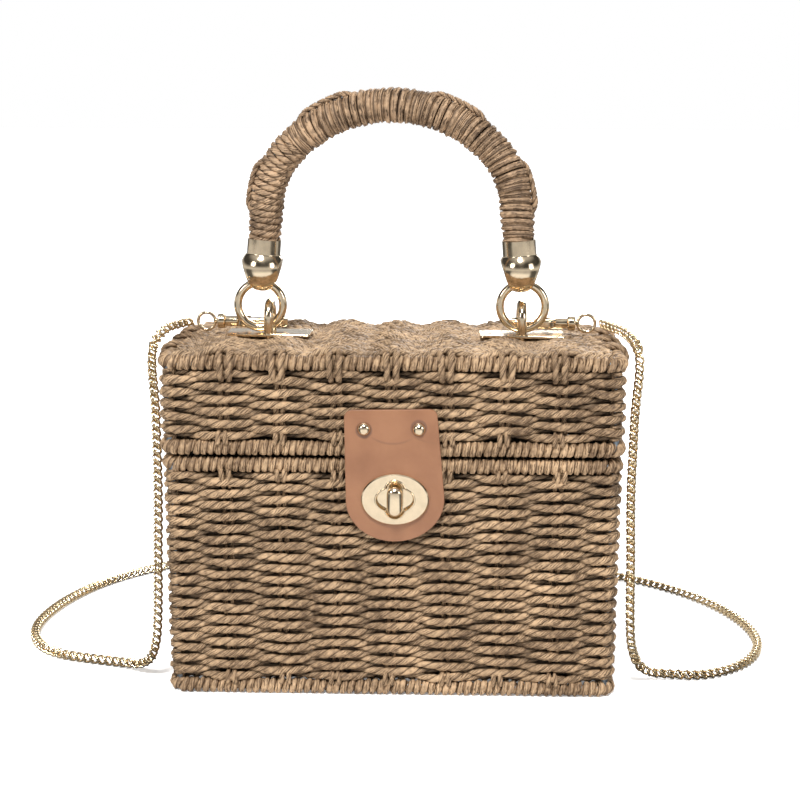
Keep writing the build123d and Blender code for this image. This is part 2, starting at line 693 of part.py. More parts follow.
collar_start_x = shank_end_x + swivel_gap
swivel_ring_radius = (swivel_ring_outer - swivel_ring_wire) / 2
swivel_ring_x = collar_start_x + swivel_collar_length + swivel_neck + swivel_ring_outer / 2
turn_to_x = Rot(0, 90, 0)
swivel = Pos(collar_start_x + swivel_collar_length / 2, hook_axis_y, hook_axis_z) * turn_to_x * Cylinder(
    swivel_collar_radius, swivel_collar_length)
swivel = fillet(swivel.edges(), 0.8)
neck_length = swivel_neck + swivel_ring_wire / 2 + 0.3
swivel += Pos(collar_start_x + swivel_collar_length + neck_length / 2, hook_axis_y, hook_axis_z) * (
    turn_to_x * Cylinder(1.1, neck_length))
swivel += Pos(collar_start_x - bore_depth / 2 + swivel_gap / 2, hook_axis_y, hook_axis_z) * turn_to_x * (
    Cylinder(swivel_stem_radius, bore_depth - swivel_gap))
swivel += Pos(swivel_ring_x, hook_axis_y, hook_axis_z) * Rot(90, 0, 0) * Torus(swivel_ring_radius,
                                                                              swivel_ring_wire / 2)
hook_parts = {"clasp_body": hook, "clasp_pin": pin, "clasp_gate": gate, "clasp_swivel": swivel}
for name, shape in hook_parts.items():
    pieces[f"{name}_right"] = shape
    pieces[f"{name}_left"] = mirror(shape, about=Plane.YZ)

# ---------------------------------------------------------------- chain strap
# Points chosen by hand. Each route starts at its end on the lid and runs on to the far end.
chain_left_over_lid = [
    (-94.0, 6.2, 158.4), (-98.4, -1.5, 158.2), (-103.2, -10.5, 157.4), (-107.2, -20.0, 152.6),
    (-107.0, -26.5, 142.5), (-105.0, -30.0, 128.0), (-104.4, -32.5, 107.5),
]
chain_right_over_lid = [
    (94.3, 6.2, 158.4), (98.0, -4.5, 158.2), (102.8, -16.5, 157.4), (107.2, -28.0, 152.6),
    (107.0, -34.5, 142.5), (105.0, -37.5, 128.0), (104.4, -39.0, 107.5),
]
chain_round_the_floor = [
    (-104.4, -32.5, 107.5), (-103.83, -34.875, 88.025), (-104.3, -37.2, 60.0), (-104.6, -38.6, 34.0),
    (-106.4, -36.0, 15.5), (-112.5, -28.0, 4.6), (-124.0, -20.5, 2.3), (-140.0, -16.0, 2.3),
    (-157.0, -10.5, 2.3), (-170.5, 2.0, 2.3), (-178.5, 22.0, 2.3), (-179.0, 46.0, 2.3),
    (-173.0, 76.0, 2.3), (-158.5, 108.0, 2.3), (-131.0, 137.0, 2.3), (-94.0, 156.0, 2.3),
    (-48.0, 164.5, 2.3), (2.0, 162.0, 2.3), (50.0, 152.5, 2.3), (96.0, 138.0, 2.3),
    (133.0, 115.0, 2.3), (158.5, 86.0, 2.3), (172.0, 56.0, 2.3), (176.5, 26.0, 2.3),
    (171.0, 1.0, 2.3), (158.0, -17.0, 2.3), (140.5, -27.5, 2.3), (127.0, -26.0, 2.3),
    (113.0, -30.0, 4.6), (106.6, -38.0, 17.5), (104.8, -43.5, 34.0), (104.5, -43.0, 60.0),
    (103.83, -40.425, 88.025), (104.4, -39.0, 107.5),
]


def chain_tube(name, points):
    """Tube along straight runs joined by the largest tangent arcs that they allow."""
    vectors = [Vector(*point) for point in points]
    runs = [b - a for a, b in zip(vectors, vectors[1:])]
    radii = []
    for before, after in zip(runs, runs[1:]):
        half_turn = math.radians(before.get_angle(after)) / 2
        radii.append(chain_arc_share * min(before.length, after.length) / math.tan(half_turn))
    path = FilletPolyline(*points, radius=radii)
    tube = sweep(Plane(origin=points[0], z_dir=path % 0) * Circle(chain_diameter / 2), path=path)
    expected = math.pi * (chain_diameter / 2) ** 2 * path.length
    print(f"{name}: length {path.length:.1f}, volume {tube.volume:.1f} of {expected:.1f}, radii",
          " ".join(f"{radius:.0f}" for radius in radii))
    return tube


pieces["chain_left_top"] = chain_tube("chain_left_top", chain_left_over_lid)
pieces["chain_right_top"] = chain_tube("chain_right_top", chain_right_over_lid)
pieces["chain_main"] = chain_tube("chain_main", chain_round_the_floor)

# ---------------------------------------------------------------- STEP files
for name, shape in pieces.items():
    write(name, shape)
print(f"{len(pieces)} nodes, centre_y {centre_y:.3f}")
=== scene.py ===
"""Woven paper rope box bag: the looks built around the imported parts. Metres, +Z up, front towards -Y."""
import bmesh
import bpy
import json
import math
import random
from mathutils import Matrix, Vector, noise


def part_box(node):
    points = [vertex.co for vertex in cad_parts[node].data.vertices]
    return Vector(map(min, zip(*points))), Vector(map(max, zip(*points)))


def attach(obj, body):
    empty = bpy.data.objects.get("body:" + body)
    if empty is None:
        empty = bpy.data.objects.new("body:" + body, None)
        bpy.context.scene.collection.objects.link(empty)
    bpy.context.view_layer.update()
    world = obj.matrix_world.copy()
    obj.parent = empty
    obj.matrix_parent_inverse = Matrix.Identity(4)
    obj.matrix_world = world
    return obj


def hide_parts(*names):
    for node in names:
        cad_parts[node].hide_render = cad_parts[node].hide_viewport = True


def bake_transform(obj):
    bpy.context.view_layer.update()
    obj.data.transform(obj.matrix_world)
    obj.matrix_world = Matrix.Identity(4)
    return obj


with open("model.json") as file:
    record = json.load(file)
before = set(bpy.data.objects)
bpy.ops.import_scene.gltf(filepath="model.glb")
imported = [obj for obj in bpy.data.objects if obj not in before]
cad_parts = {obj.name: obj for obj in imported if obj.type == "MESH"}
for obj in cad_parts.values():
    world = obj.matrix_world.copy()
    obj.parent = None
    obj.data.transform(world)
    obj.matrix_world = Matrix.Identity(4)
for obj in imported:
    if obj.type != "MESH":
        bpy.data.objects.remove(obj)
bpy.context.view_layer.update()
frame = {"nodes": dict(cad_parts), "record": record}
mm = 0.001
nodes = frame["nodes"]

# Studio: a white floor under a white backdrop, a broad light high in front, a soft light on each side
# and one behind. What the plated fittings mirror is a darker floor in bands and a banded dome, like
# the screens that stand round a real set.


def feed(tree, node, inputs):
    """Plain values and incoming links for a node's sockets."""
    for key, value in inputs.items():
        if isinstance(value, bpy.types.NodeSocket):
            tree.links.new(value, node.inputs[key])
        else:
            node.inputs[key].default_value = value


def add(tree, kind, settings=None, inputs=None, **named):
    """Node with its settings and its inputs, given by number or by name."""
    node = tree.nodes.new(kind)
    for key, value in (settings or {}).items():
        setattr(node, key, value)
    feed(tree, node, inputs or {})
    feed(tree, node, {key.replace("_", " "): value for key, value in named.items()})
    return node


def maths(tree, operation, *terms):
    """Result of a Math node."""
    return add(tree, "ShaderNodeMath", {"operation": operation}, dict(enumerate(terms))).outputs[0]


def remap(tree, value, interpolation="LINEAR", **ends):
    """Result of a Map Range node."""
    step = {"interpolation_type": interpolation}
    return add(tree, "ShaderNodeMapRange", step, Value=value, **ends).outputs["Result"]


def mixed(tree, share, first, second, kind="MIX"):
    """Colour mixed from two colours."""
    return add(tree, "ShaderNodeMix", {"data_type": "RGBA", "blend_type": kind},
               Factor=share, A=first, B=second).outputs["Result"]


def ramp(tree, source, stops):
    """Colour ramp from a value, with its stops as place and grey level or colour."""
    node = add(tree, "ShaderNodeValToRGB", Fac=source)
    while len(node.color_ramp.elements) < len(stops):
        node.color_ramp.elements.new(0.5)
    for element, (place, colour) in zip(node.color_ramp.elements, stops):
        element.position = place
        element.color = (colour,) * 3 + (1,) if isinstance(colour, float) else colour + (1,)
    return node.outputs["Color"]


def new_finish(name):
    """Material with its node tree and its shader."""
    material = bpy.data.materials.new(name)
    material.use_nodes = True
    return material, material.node_tree, material.node_tree.nodes["Principled BSDF"]


def put(name, data):
    """Object for some data, linked to the scene."""
    thing = bpy.data.objects.new(name, data)
    bpy.context.scene.collection.objects.link(thing)
    return thing


def mesh_from(shape, name):
    """Mesh with the shape of a bmesh."""
    mesh = bpy.data.meshes.new(name)
    shape.to_mesh(mesh)
    return mesh


floor_half_width = 40.0
floor_shape = bmesh.new()
bmesh.ops.create_grid(floor_shape, x_segments=1, y_segments=1, size=floor_half_width)
floor = put("floor", mesh_from(floor_shape, "floor"))
floor_paint, tree, shader = new_finish("floor_paint")
spot = add(tree, "ShaderNodeTexCoord").outputs["Object"]
floor_reach = add(tree, "ShaderNodeVectorMath", {"operation": "LENGTH"}, {0: spot}).outputs["Value"]
floor_fade = remap(tree, floor_reach, From_Min=0.55, From_Max=0.95, To_Min=1.0, To_Max=0.5)
floor_parts = add(tree, "ShaderNodeSeparateXYZ", Vector=spot).outputs
floor_side = maths(tree, "ABSOLUTE", maths(tree, "ARCTAN2", floor_parts["X"], floor_parts["Y"]))
floor_bands = ramp(tree, remap(tree, floor_side, From_Max=math.pi), [
    (0.0, 0.4), (0.15, 0.05), (0.3, 0.05), (0.36, 0.5), (0.48, 0.5), (0.54, 0.04), (0.68, 0.04), (0.75, 0.6)])
floor_mirror = maths(tree, "MULTIPLY", floor_fade, floor_bands)
mirrored = add(tree, "ShaderNodeLightPath").outputs["Is Glossy Ray"]
floor_tone = mixed(tree, mirrored, (0.97, 0.97, 0.97, 1), floor_mirror)
feed(tree, shader, {"Base Color": floor_tone, "Emission Color": floor_tone,
                    "Emission Strength": 0.22, "Roughness": 0.9})
floor.data.materials.append(floor_paint)

world = bpy.data.worlds.new("studio")
bpy.context.scene.world = world
world.use_nodes = True
sky = world.node_tree
skyward = add(sky, "ShaderNodeSeparateXYZ", Vector=add(sky, "ShaderNodeTexCoord").outputs["Generated"]).outputs["Z"]
dome = ramp(sky, skyward, [(0.1, 0.7), (0.28, 0.05), (0.6, 0.06), (0.85, 0.5)])
rays = add(sky, "ShaderNodeLightPath").outputs
fill = mixed(sky, rays["Is Glossy Ray"], (0.3, 0.3, 0.3, 1), dome)
feed(sky, sky.nodes["Background"], {"Color": mixed(sky, rays["Is Camera Ray"], fill, (1, 1, 1, 1))})


def facing(direction):
    """Turn of a light or camera that looks along a direction."""
    return Vector(direction).to_track_quat("-Z", "Y").to_euler()


for name, place, target, size, power in (
        ("left_light", (-1.0, -0.9, 0.8), (0, 0, 0.12), 0.45, 4),
        ("right_light", (1.1, -0.7, 0.6), (0, 0, 0.12), 0.45, 3),
        ("back_light", (0.3, 1.5, 0.9), (0, 0, 0.1), 0.9, 22)):
    lamp = bpy.data.lights.new(name, "AREA")
    lamp.size = size
    lamp.energy = power
    light = put(name, lamp)
    light.location = place
    light.rotation_euler = facing(Vector(target) - Vector(place))
broad = bpy.data.lights.new("broad_light", "SUN")
broad.energy = 3.9
broad.angle = math.radians(16)
put("broad_light", broad).rotation_euler = facing((0.08, 0.54, -0.84))

camera_data = bpy.data.cameras.new("camera")
camera_data.lens = 67.5
camera_data.sensor_width = 36
camera = put("camera", camera_data)
camera_place = (0.0205, -0.67425, 0.2496)
pitch_down, turn_left, roll = math.radians(10.559), math.radians(1.552), math.radians(0.173)
camera.matrix_world = (Matrix.Translation(camera_place) @ Matrix.Rotation(turn_left, 4, "Z")
                       @ Matrix.Rotation(math.pi / 2 - pitch_down, 4, "X") @ Matrix.Rotation(roll, 4, "Z"))
bpy.context.scene.camera = camera
bpy.context.scene.view_settings.view_transform = "Standard"

# Chain strap: pale gold flat chain of small oval links, clipped to both swivel rings. It runs over
# the lid's ends, down both sides and in one wide loop on the floor behind the bag.
chain_route = [
    (-94.0, 6.2, 158.4), (-98.4, -1.5, 158.2), (-103.2, -10.5, 157.4), (-107.2, -20.0, 152.6),
    (-107.0, -26.5, 142.5), (-105.0, -30.0, 128.0), (-104.4, -32.5, 107.5), (-103.83, -34.875, 88.025),
    (-104.3, -37.2, 60.0), (-104.6, -38.6, 34.0), (-106.4, -36.0, 15.5), (-112.5, -28.0, 4.6),
    (-124.0, -20.5, 2.3), (-140.0, -16.0, 2.3), (-157.0, -10.5, 2.3), (-170.5, 2.0, 2.3),
    (-178.5, 22.0, 2.3), (-179.0, 46.0, 2.3), (-173.0, 76.0, 2.3), (-158.5, 108.0, 2.3),
    (-131.0, 137.0, 2.3), (-94.0, 156.0, 2.3), (-48.0, 164.5, 2.3), (2.0, 162.0, 2.3),
    (50.0, 152.5, 2.3), (96.0, 138.0, 2.3), (133.0, 115.0, 2.3), (158.5, 86.0, 2.3),
    (172.0, 56.0, 2.3), (176.5, 26.0, 2.3), (171.0, 1.0, 2.3), (158.0, -17.0, 2.3),
    (140.5, -27.5, 2.3), (127.0, -26.0, 2.3), (113.0, -30.0, 4.6), (106.6, -38.0, 17.5),
    (104.8, -43.5, 34.0), (104.5, -43.0, 60.0), (103.83, -40.425, 88.025), (104.4, -39.0, 107.5),
    (105.0, -37.5, 128.0), (107.0, -34.5, 142.5), (107.2, -28.0, 152.6), (102.8, -16.5, 157.4),
    (98.0, -4.5, 158.2), (94.3, 6.2, 158.4),
]
shift_y = 3.15


def link_up(name, mesh, material, body=None):
    """Object for a finished mesh, smooth, with its material and slot, riding on a body."""
    piece = put(name, mesh)
    mesh.materials.clear()
    mesh.materials.append(material)
    mesh.polygons.foreach_set("use_smooth", [True] * len(mesh.polygons))
    if body:
        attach(piece, body)
    return piece


def mesh_of(curve, name):
    """Mesh made from a curve, which is then removed."""
    holder = put(name, curve)
    bpy.context.view_layer.update()
    made = bpy.data.meshes.new_from_object(holder.evaluated_get(bpy.context.evaluated_depsgraph_get()))
    bpy.data.objects.remove(holder)
    bpy.data.curves.remove(curve)
    made.name = name
    return made


def new_group(name, inputs, outputs):
    """Shader node group with float or colour sockets, and its input and output nodes."""
    group = bpy.data.node_groups.new(name, "ShaderNodeTree")
    for label, kind, value in inputs:
        socket = group.interface.new_socket(label, in_out="INPUT", socket_type=kind)
        socket.default_value = value
    for label, kind in outputs:
        group.interface.new_socket(label, in_out="OUTPUT", socket_type=kind)
    return group, group.nodes.new("NodeGroupInput"), group.nodes.new("NodeGroupOutput")


# polish: faint cloudy smears and hair scratches that every plated fitting shares
polish, _, polish_out = new_group("polish", [], [("Smear", "NodeSocketFloat"), ("Scratches", "NodeSocketFloat")])
spot = add(polish, "ShaderNodeTexCoord").outputs["Object"]
smears = add(polish, "ShaderNodeTexNoise", Vector=spot, Scale=260.0, Detail=4.0)
hairs = add(polish, "ShaderNodeTexNoise", Vector=spot, Scale=2600.0, Detail=2.0, Distortion=2.0)
feed(polish, polish_out, {"Smear": smears.outputs["Fac"], "Scratches": hairs.outputs["Fac"]})


def bumped(tree, height, strength, distance):
    """Normal raised by a height."""
    return add(tree, "ShaderNodeBump", Height=height, Strength=strength, Distance=distance).outputs["Normal"]


def gold_plate(name, colour, dull, shine_spread=0.12, grain=0.05):
    """Plated metal with a soft variation of its roughness and colour."""
    material, tree, shader = new_finish(name)
    worn = add(tree, "ShaderNodeGroup", {"node_tree": polish}).outputs
    darker = tuple(c * 0.86 for c in colour)
    feed(tree, shader, {
        "Metallic": 1.0, "Base Color": ramp(tree, worn["Smear"], [(0.3, darker), (0.6, colour)]),
        "Roughness": remap(tree, worn["Smear"], From_Min=0.3, From_Max=0.75, To_Min=dull, To_Max=dull + shine_spread),
        "Normal": bumped(tree, worn["Scratches"], grain, 0.2 * mm)})
    return material


gold = gold_plate("pale_gold_plate", (0.86, 0.70, 0.49), 0.09)
chain_gold = gold_plate("chain_gold_plate", (0.84, 0.67, 0.42), 0.14)

route_curve = bpy.data.curves.new("chain_route", "CURVE")
route_curve.dimensions = "3D"
route_curve.resolution_u = 10
route = route_curve.splines.new("NURBS")
route.points.add(len(chain_route) - 1)
for point, (x, y, z) in zip(route.points, chain_route):
    point.co = (x * mm, (y + shift_y) * mm, z * mm, 1)
route.order_u = 3
route.use_endpoint_u = True
route_mesh = mesh_of(route_curve, "chain_route")
route_points = [vertex.co.copy() for vertex in route_mesh.vertices]
route_lengths = [0.0]
for before, after in zip(route_points, route_points[1:]):
    route_lengths.append(route_lengths[-1] + (after - before).length)
chain_length = route_lengths[-1]


def along(points, lengths, distance):
    """Point and direction at a distance along a line of points."""
    index = 1
    while index < len(points) - 1 and lengths[index] < distance:
        index += 1
    share = (distance - lengths[index - 1]) / max(lengths[index] - lengths[index - 1], 1e-9)
    run = points[index] - points[index - 1]
    return points[index - 1] + run * share, run.normalized()


link_wire, link_half_width, link_half_length, link_pitch = 0.56 * mm, 2.0 * mm, 2.1 * mm, 1.9 * mm
link_roll, link_tilt = math.radians(40), math.radians(36)
link_template = bmesh.new()
ring_start = bmesh.ops.create_circle(link_template, segments=5, radius=link_wire)["verts"]
bmesh.ops.transform(link_template, verts=ring_start, matrix=Matrix.Translation((link_half_width, 0, 0))
                    @ Matrix.Rotation(math.pi / 2, 4, "X"))
bmesh.ops.spin(link_template, geom=link_template.verts[:] + link_template.edges[:], cent=(0, 0, 0),
               axis=(0, 0, 1), angle=2 * math.pi, steps=10, use_merge=True)
bmesh.ops.scale(link_template, vec=(1, link_half_length / link_half_width, 1), verts=link_template.verts)
bmesh.ops.recalc_face_normals(link_template, faces=link_template.faces)
link_mesh = mesh_from(link_template, "chain_link")
chain_shape = bmesh.new()
link_count = int(chain_length / link_pitch)
for count in range(link_count):
    place, direction = along(route_points, route_lengths, (count + 0.5) * chain_length / link_count)
    flat = Vector((0, 0, 1)) if abs(direction.z) < 0.75 else Vector((-math.copysign(1, place.x), 0, 0))
    across = direction.cross(flat).normalized()
    flat = across.cross(direction)
    lie = Matrix((across, direction, flat)).transposed().to_4x4()
    first = len(chain_shape.verts)
    chain_shape.from_mesh(link_mesh)
    chain_shape.verts.ensure_lookup_table()
    side = 1 if count % 2 else -1
    bmesh.ops.transform(chain_shape, verts=chain_shape.verts[first:], matrix=Matrix.Translation(place) @ lie
                        @ Matrix.Rotation(side * link_roll, 4, "Y") @ Matrix.Rotation(link_tilt, 4, "X"))
chain = link_up("chain_strap", mesh_from(chain_shape, "chain_strap"), chain_gold)
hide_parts("chain_left_top", "chain_main", "chain_right_top")
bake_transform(chain)

# Paper rope: two plies of tan kraft paper twisted together, 3.5 mm thick. Every woven piece is laid
# from it, as a two-lobed bar that turns once in each ply pitch.
paper, paper_in, paper_out = new_group("paper_ply", [("Light", "NodeSocketColor", (0.55, 0.38, 0.24, 1)),
                                                     ("Dark", "NodeSocketColor", (0.33, 0.2, 0.11, 1))], [
    ("Color", "NodeSocketColor"), ("Roughness", "NodeSocketFloat"), ("Height", "NodeSocketFloat")])
coordinates = add(paper, "ShaderNodeTexCoord").outputs
spot = coordinates["Object"]
around = add(paper, "ShaderNodeSeparateXYZ", Vector=coordinates["UV"]).outputs["Y"]
cloud = add(paper, "ShaderNodeTexNoise", Vector=spot, Scale=55.0, Detail=3.0).outputs["Fac"]
mottle = add(paper, "ShaderNodeTexNoise", Vector=spot, Scale=420.0, Detail=4.0).outputs["Fac"]
dashes = add(paper, "ShaderNodeTexNoise", Vector=spot, Scale=230.0, Detail=1.0).outputs["Fac"]
fold_waver, folds_around, fold_painted_light, fold_relief, cloud_share = 0.16, 9, 0.16, 0.7, 0.9
shifted = maths(paper, "MULTIPLY_ADD", mottle, fold_waver, around)
folds = remap(paper, maths(paper, "SINE", maths(paper, "MULTIPLY", shifted, 2 * math.pi * folds_around)),
              From_Min=-1.0, From_Max=1.0)
lobe = remap(paper, maths(paper, "COSINE", maths(paper, "MULTIPLY", around, 4 * math.pi)),
             From_Min=-1.0, From_Max=1.0)
# Painted shade: the colour goes towards Dark in the groove between the two plies and along the creases, and each
# fold's crest gets a little painted light; the cloudy tone is the paper's own.
painted_groove_shade = ramp(paper, lobe, [(0.0, 0.0), (0.16, 1.0)])
tone = remap(paper, maths(paper, "MULTIPLY_ADD", cloud, cloud_share, mottle), From_Min=0.65, From_Max=1.25)
whole = ramp(paper, dashes, [(0.46, 1.0), (0.53, 0.0)])
uncreased = maths(paper, "MAXIMUM", whole, ramp(paper, folds, [(0.04, 0.0), (0.3, 1.0)]))
painted_ply_shade = maths(paper, "MULTIPLY", painted_groove_shade, remap(paper, uncreased, To_Min=0.12))
tone_with_painted_shade = maths(paper, "MULTIPLY_ADD", folds, fold_painted_light, maths(paper, "MULTIPLY", tone, painted_ply_shade))
feed(paper, paper_out, {
    "Color": mixed(paper, tone_with_painted_shade, paper_in.outputs["Dark"], paper_in.outputs["Light"]),
    "Roughness": remap(paper, mottle, To_Min=0.5, To_Max=0.78),
    "Height": maths(paper, "MULTIPLY_ADD", folds, fold_relief, maths(paper, "ADD", mottle, uncreased))})

# Painted shade for the walls: from dark, deep between the rows where little light reaches, to 1 on the ropes' outer
# side.
# The depth is measured from the wall's middle, which flares a little from the foot up.
painted_recess_shade, _, painted_recess_out = new_group("painted_recess_shade", [], [("Unshaded", "NodeSocketFloat")])
spot = add(painted_recess_shade, "ShaderNodeSeparateXYZ", Vector=add(painted_recess_shade, "ShaderNodeTexCoord").outputs["Object"]).outputs
depths = []
for axis, centring, half_at_foot, flare in (("X", 0.0, 0.0955, 0.0115), ("Y", -shift_y * mm, 0.048, 0.007)):
    away = maths(painted_recess_shade, "ABSOLUTE", maths(painted_recess_shade, "ADD", spot[axis], centring))
    depths.append(maths(painted_recess_shade, "SUBTRACT", maths(painted_recess_shade, "MULTIPLY_ADD", spot["Z"], -flare, away), half_at_foot))
feed(painted_recess_shade, painted_recess_out, {"Unshaded": remap(painted_recess_shade, maths(painted_recess_shade, "MAXIMUM", *depths), From_Min=-1.6 * mm,
                                        From_Max=1.6 * mm, To_Min=0.1)})


def paper_rope(name, light, dark, with_painted_shade=False):
    """Matte paper rope in one colour, with painted shade deep between a wall's rows when asked."""
    material, tree, shader = new_finish(name)
    ply = add(tree, "ShaderNodeGroup", {"node_tree": paper}, Light=light + (1,), Dark=dark + (1,)).outputs
    shade = ply["Color"]
    if with_painted_shade:
        # Painted shade: the rope's colour is multiplied darker deep between the wall's rows.
        unshaded_share = add(tree, "ShaderNodeGroup", {"node_tree": painted_recess_shade}).outputs["Unshaded"]
        shade = mixed(tree, 1.0, shade, unshaded_share, "MULTIPLY")
    feed(tree, shader, {"Specular IOR Level": 0.35, "Base Color": shade, "Roughness": ply["Roughness"],
                        "Normal": bumped(tree, ply["Height"], 0.55, 0.3 * mm)})
    return material


wall_paper = paper_rope("wall_rope", (0.50, 0.335, 0.193), (0.07, 0.037, 0.016), True)
# The lid top's rope is the same paper with a lighter colour, as painted light from above; the basket's floor ropes
# use it too.
paper_painted_lighter = paper_rope("lid_top_rope", (0.56, 0.385, 0.23), (0.065, 0.035, 0.016))
wrap_paper = paper_rope("wrap_rope", (0.48, 0.322, 0.187), (0.08, 0.042, 0.019))
handle_paper = paper_rope("handle_rope", (0.49, 0.325, 0.195), (0.055, 0.029, 0.013))

ply_section = [(1.0, 0.0), (0.66, 0.86), (0.0, 0.74), (-0.66, 0.86), (-1.0, 0.0), (-0.66, -0.86), (0.0, -0.74),
               (0.66, -0.86)]


def lay_rope(name, runs, radius, ply_pitch, material, body, closed=False, waist=0.88):
    """Twisted rope along one or more runs. A run is a list of (point in mm, thickness share)."""
    section = bpy.data.curves.new("ply_section", "CURVE")
    outline = section.splines.new("POLY")
    outline.points.add(len(ply_section) - 1)
    for point, (x, y) in zip(outline.points, ply_section):
        point.co = (x * radius * mm, y * radius * waist * mm, 0, 1)
    outline.use_cyclic_u = True
    section_object = put("ply_section", section)
    curve = bpy.data.curves.new(name, "CURVE")
    curve.dimensions = "3D"
    curve.bevel_mode = "OBJECT"
    curve.bevel_object = section_object
    curve.use_fill_caps = not closed
    for number, run in enumerate(runs):
        spline = curve.splines.new("POLY")
        spline.points.add(len(run) - 1)
        length = sum(math.dist(a[0], b[0]) for a, b in zip(run, run[1:]))
        pitch = abs(ply_pitch)
        if closed:
            length += math.dist(run[-1][0], run[0][0])
            pitch = length / round(length / pitch)
        turn = (0.37 * number) % 1.0 * math.pi
        done = 0.0
        last = run[0][0]
        for point, (place, share) in zip(spline.points, run):
            done += math.dist(last, place)
            last = place
            point.co = (place[0] * mm, (place[1] + shift_y) * mm, place[2] * mm, 1)
            point.radius = share
            point.tilt = turn + math.copysign(2 * math.pi * done / pitch, ply_pitch)
        spline.use_cyclic_u = closed
    mesh = mesh_of(curve, name)
    bpy.data.objects.remove(section_object)
    bpy.data.curves.remove(section)
    return link_up(name, mesh, material, body)


# Walls: rows of rope go round the basket, over one pair of stakes and under the next, and each row
# goes the other way from the row below. Seven pairs of stakes stand in the front, three in a side.
wire_corner = 5.0
front_bays, side_bays = 8, 4
bay_total = 2 * (front_bays + side_bays)
foot_half, body_half, lid_half = (95.5, 48.0), (96.5, 48.5), (97.2, 49.0)
foot_z, body_z, lid_z, top_z = 3.3, 103.7, 111.3, 148.2
rim_radius = 3.5


def between(first, last, share):
    """Each number of first moved towards last by a share."""
    return tuple(a + (b - a) * share for a, b in zip(first, last))


def body_half_at(z):
    """Half width and half depth of the basket's outline at a height, in mm."""
    return between(foot_half, body_half, (z - foot_z) / (body_z - foot_z))


def around_wall(half, bay, out):
    """X and Y on a wall's outline at a bay number, moved outwards."""
    bay %= bay_total
    hx, hy = half
    corners = [(0, (-hx, -hy)), (front_bays, (hx, -hy)), (front_bays + side_bays, (hx, hy)),
               (2 * front_bays + side_bays, (-hx, hy)), (bay_total, (-hx, -hy))]
    for (first, start), (last, end) in zip(corners, corners[1:]):
        if bay <= last:
            break
    length = math.dist(start, end)
    run = ((end[0] - start[0]) / length, (end[1] - start[1]) / length)
    out_x, out_y = run[1], -run[0]
    quarter = math.pi * wire_corner / 4
    straight = length - 2 * wire_corner
    travel = (bay - first) / (last - first) * (straight + 2 * quarter)
    if travel < quarter or travel > straight + quarter:
        back = travel - quarter if travel < quarter else travel - quarter - straight
        angle = back / wire_corner
        pivot = wire_corner if travel < quarter else length - wire_corner
        px = start[0] + run[0] * pivot - out_x * wire_corner
        py = start[1] + run[1] * pivot - out_y * wire_corner
        nx = out_x * math.cos(angle) + run[0] * math.sin(angle)
        ny = out_y * math.cos(angle) + run[1] * math.sin(angle)
        return px + nx * (wire_corner + out), py + ny * (wire_corner + out)
    place = travel - quarter + wire_corner
    return start[0] + run[0] * place + out_x * out, start[1] + run[1] * place + out_y * out


chance = random.Random(11)


def wander(strength, waves=5):
    """Smooth closed wobble along one row."""
    parts = [(chance.randint(2, 40), chance.uniform(0, 2 * math.pi), chance.uniform(0.3, 1))
             for _ in range(waves)]
    total = sum(size for _, _, size in parts)
    return lambda turn: strength * sum(size * math.sin(turn * rate + start) for rate, start, size in parts) / total


rope_radius, stake_radius = 1.72, 1.5
wall_ply, stake_ply = -11.5, 9.0
row_steps = 360


def wall_rows(half_at, low_z, high_z, pitch):
    """Rows of rope between two heights, each as a closed run."""
    rows = []
    count = round((high_z - low_z) / pitch)
    for row in range(count + 1):
        z = low_z + (high_z - low_z) * row / count
        rise, thick, sway = wander(0.9, 7), wander(0.16), wander(0.35)
        side = 1 if row % 2 else -1
        run = []
        for step in range(row_steps):
            bay = bay_total * step / row_steps
            turn = 2 * math.pi * step / row_steps
            wave = math.cos(math.pi * bay)
            weave = side * math.copysign(abs(wave) ** 0.8, wave)
            out = -0.25 + 1.8 * weave + sway(turn)
            x, y = around_wall(half_at(z), bay, out)
            run.append(((x, y, z + rise(turn)), 0.93 + 0.19 * weave + thick(turn)))
        rows.append(run)
    return rows


stake_spread, stake_steps = 0.06, 24


def stake_runs(half_low, half_high, low_z, high_z):
    """Pairs of upright ropes inside the weave, one pair in each bay line."""
    runs = []
    for bay in range(bay_total):
        for side in (-1, 1):
            run = []
            for step in range(stake_steps + 1):
                share = step / stake_steps
                half = between(half_low, half_high, share)
                x, y = around_wall(half, bay + side * stake_spread + 0.02 * math.sin(9 * share + bay), -0.7)
                run.append(((x, y, low_z + (high_z - low_z) * share), 0.9))
            runs.append(run)
    return runs


body_rows = wall_rows(body_half_at, 8.2, 98.6, 2.55)
half_way = len(body_rows) // 2
body_weave = lay_rope("body_weave_lower", body_rows[:half_way], rope_radius, wall_ply, wall_paper, "basket", True)
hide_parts("body_weave")
lay_rope("body_weave_upper", body_rows[half_way:], rope_radius, wall_ply, wall_paper, "basket", True)
lay_rope("body_stakes", stake_runs(foot_half, body_half, 4.5, 102.0), stake_radius, stake_ply, wrap_paper, "basket")

# The basket's floor is close ropes from end to end, inside the foot's rim.
bottom_count, bottom_steps, bottom_half, bottom_z = 27, 40, (91.5, 44.6), 6.3
bottom_ropes = []
for number in range(bottom_count):
    y = -bottom_half[1] + 2 * bottom_half[1] * number / (bottom_count - 1)
    bottom_ropes.append([((-bottom_half[0] + 2 * bottom_half[0] * step / bottom_steps, y,
                           bottom_z + 0.3 * math.cos(math.pi * (step / 5 + number))), 0.98)
                         for step in range(bottom_steps + 1)])
lay_rope("body_bottom_ropes", bottom_ropes, 1.95, -10.0, paper_painted_lighter, "basket")

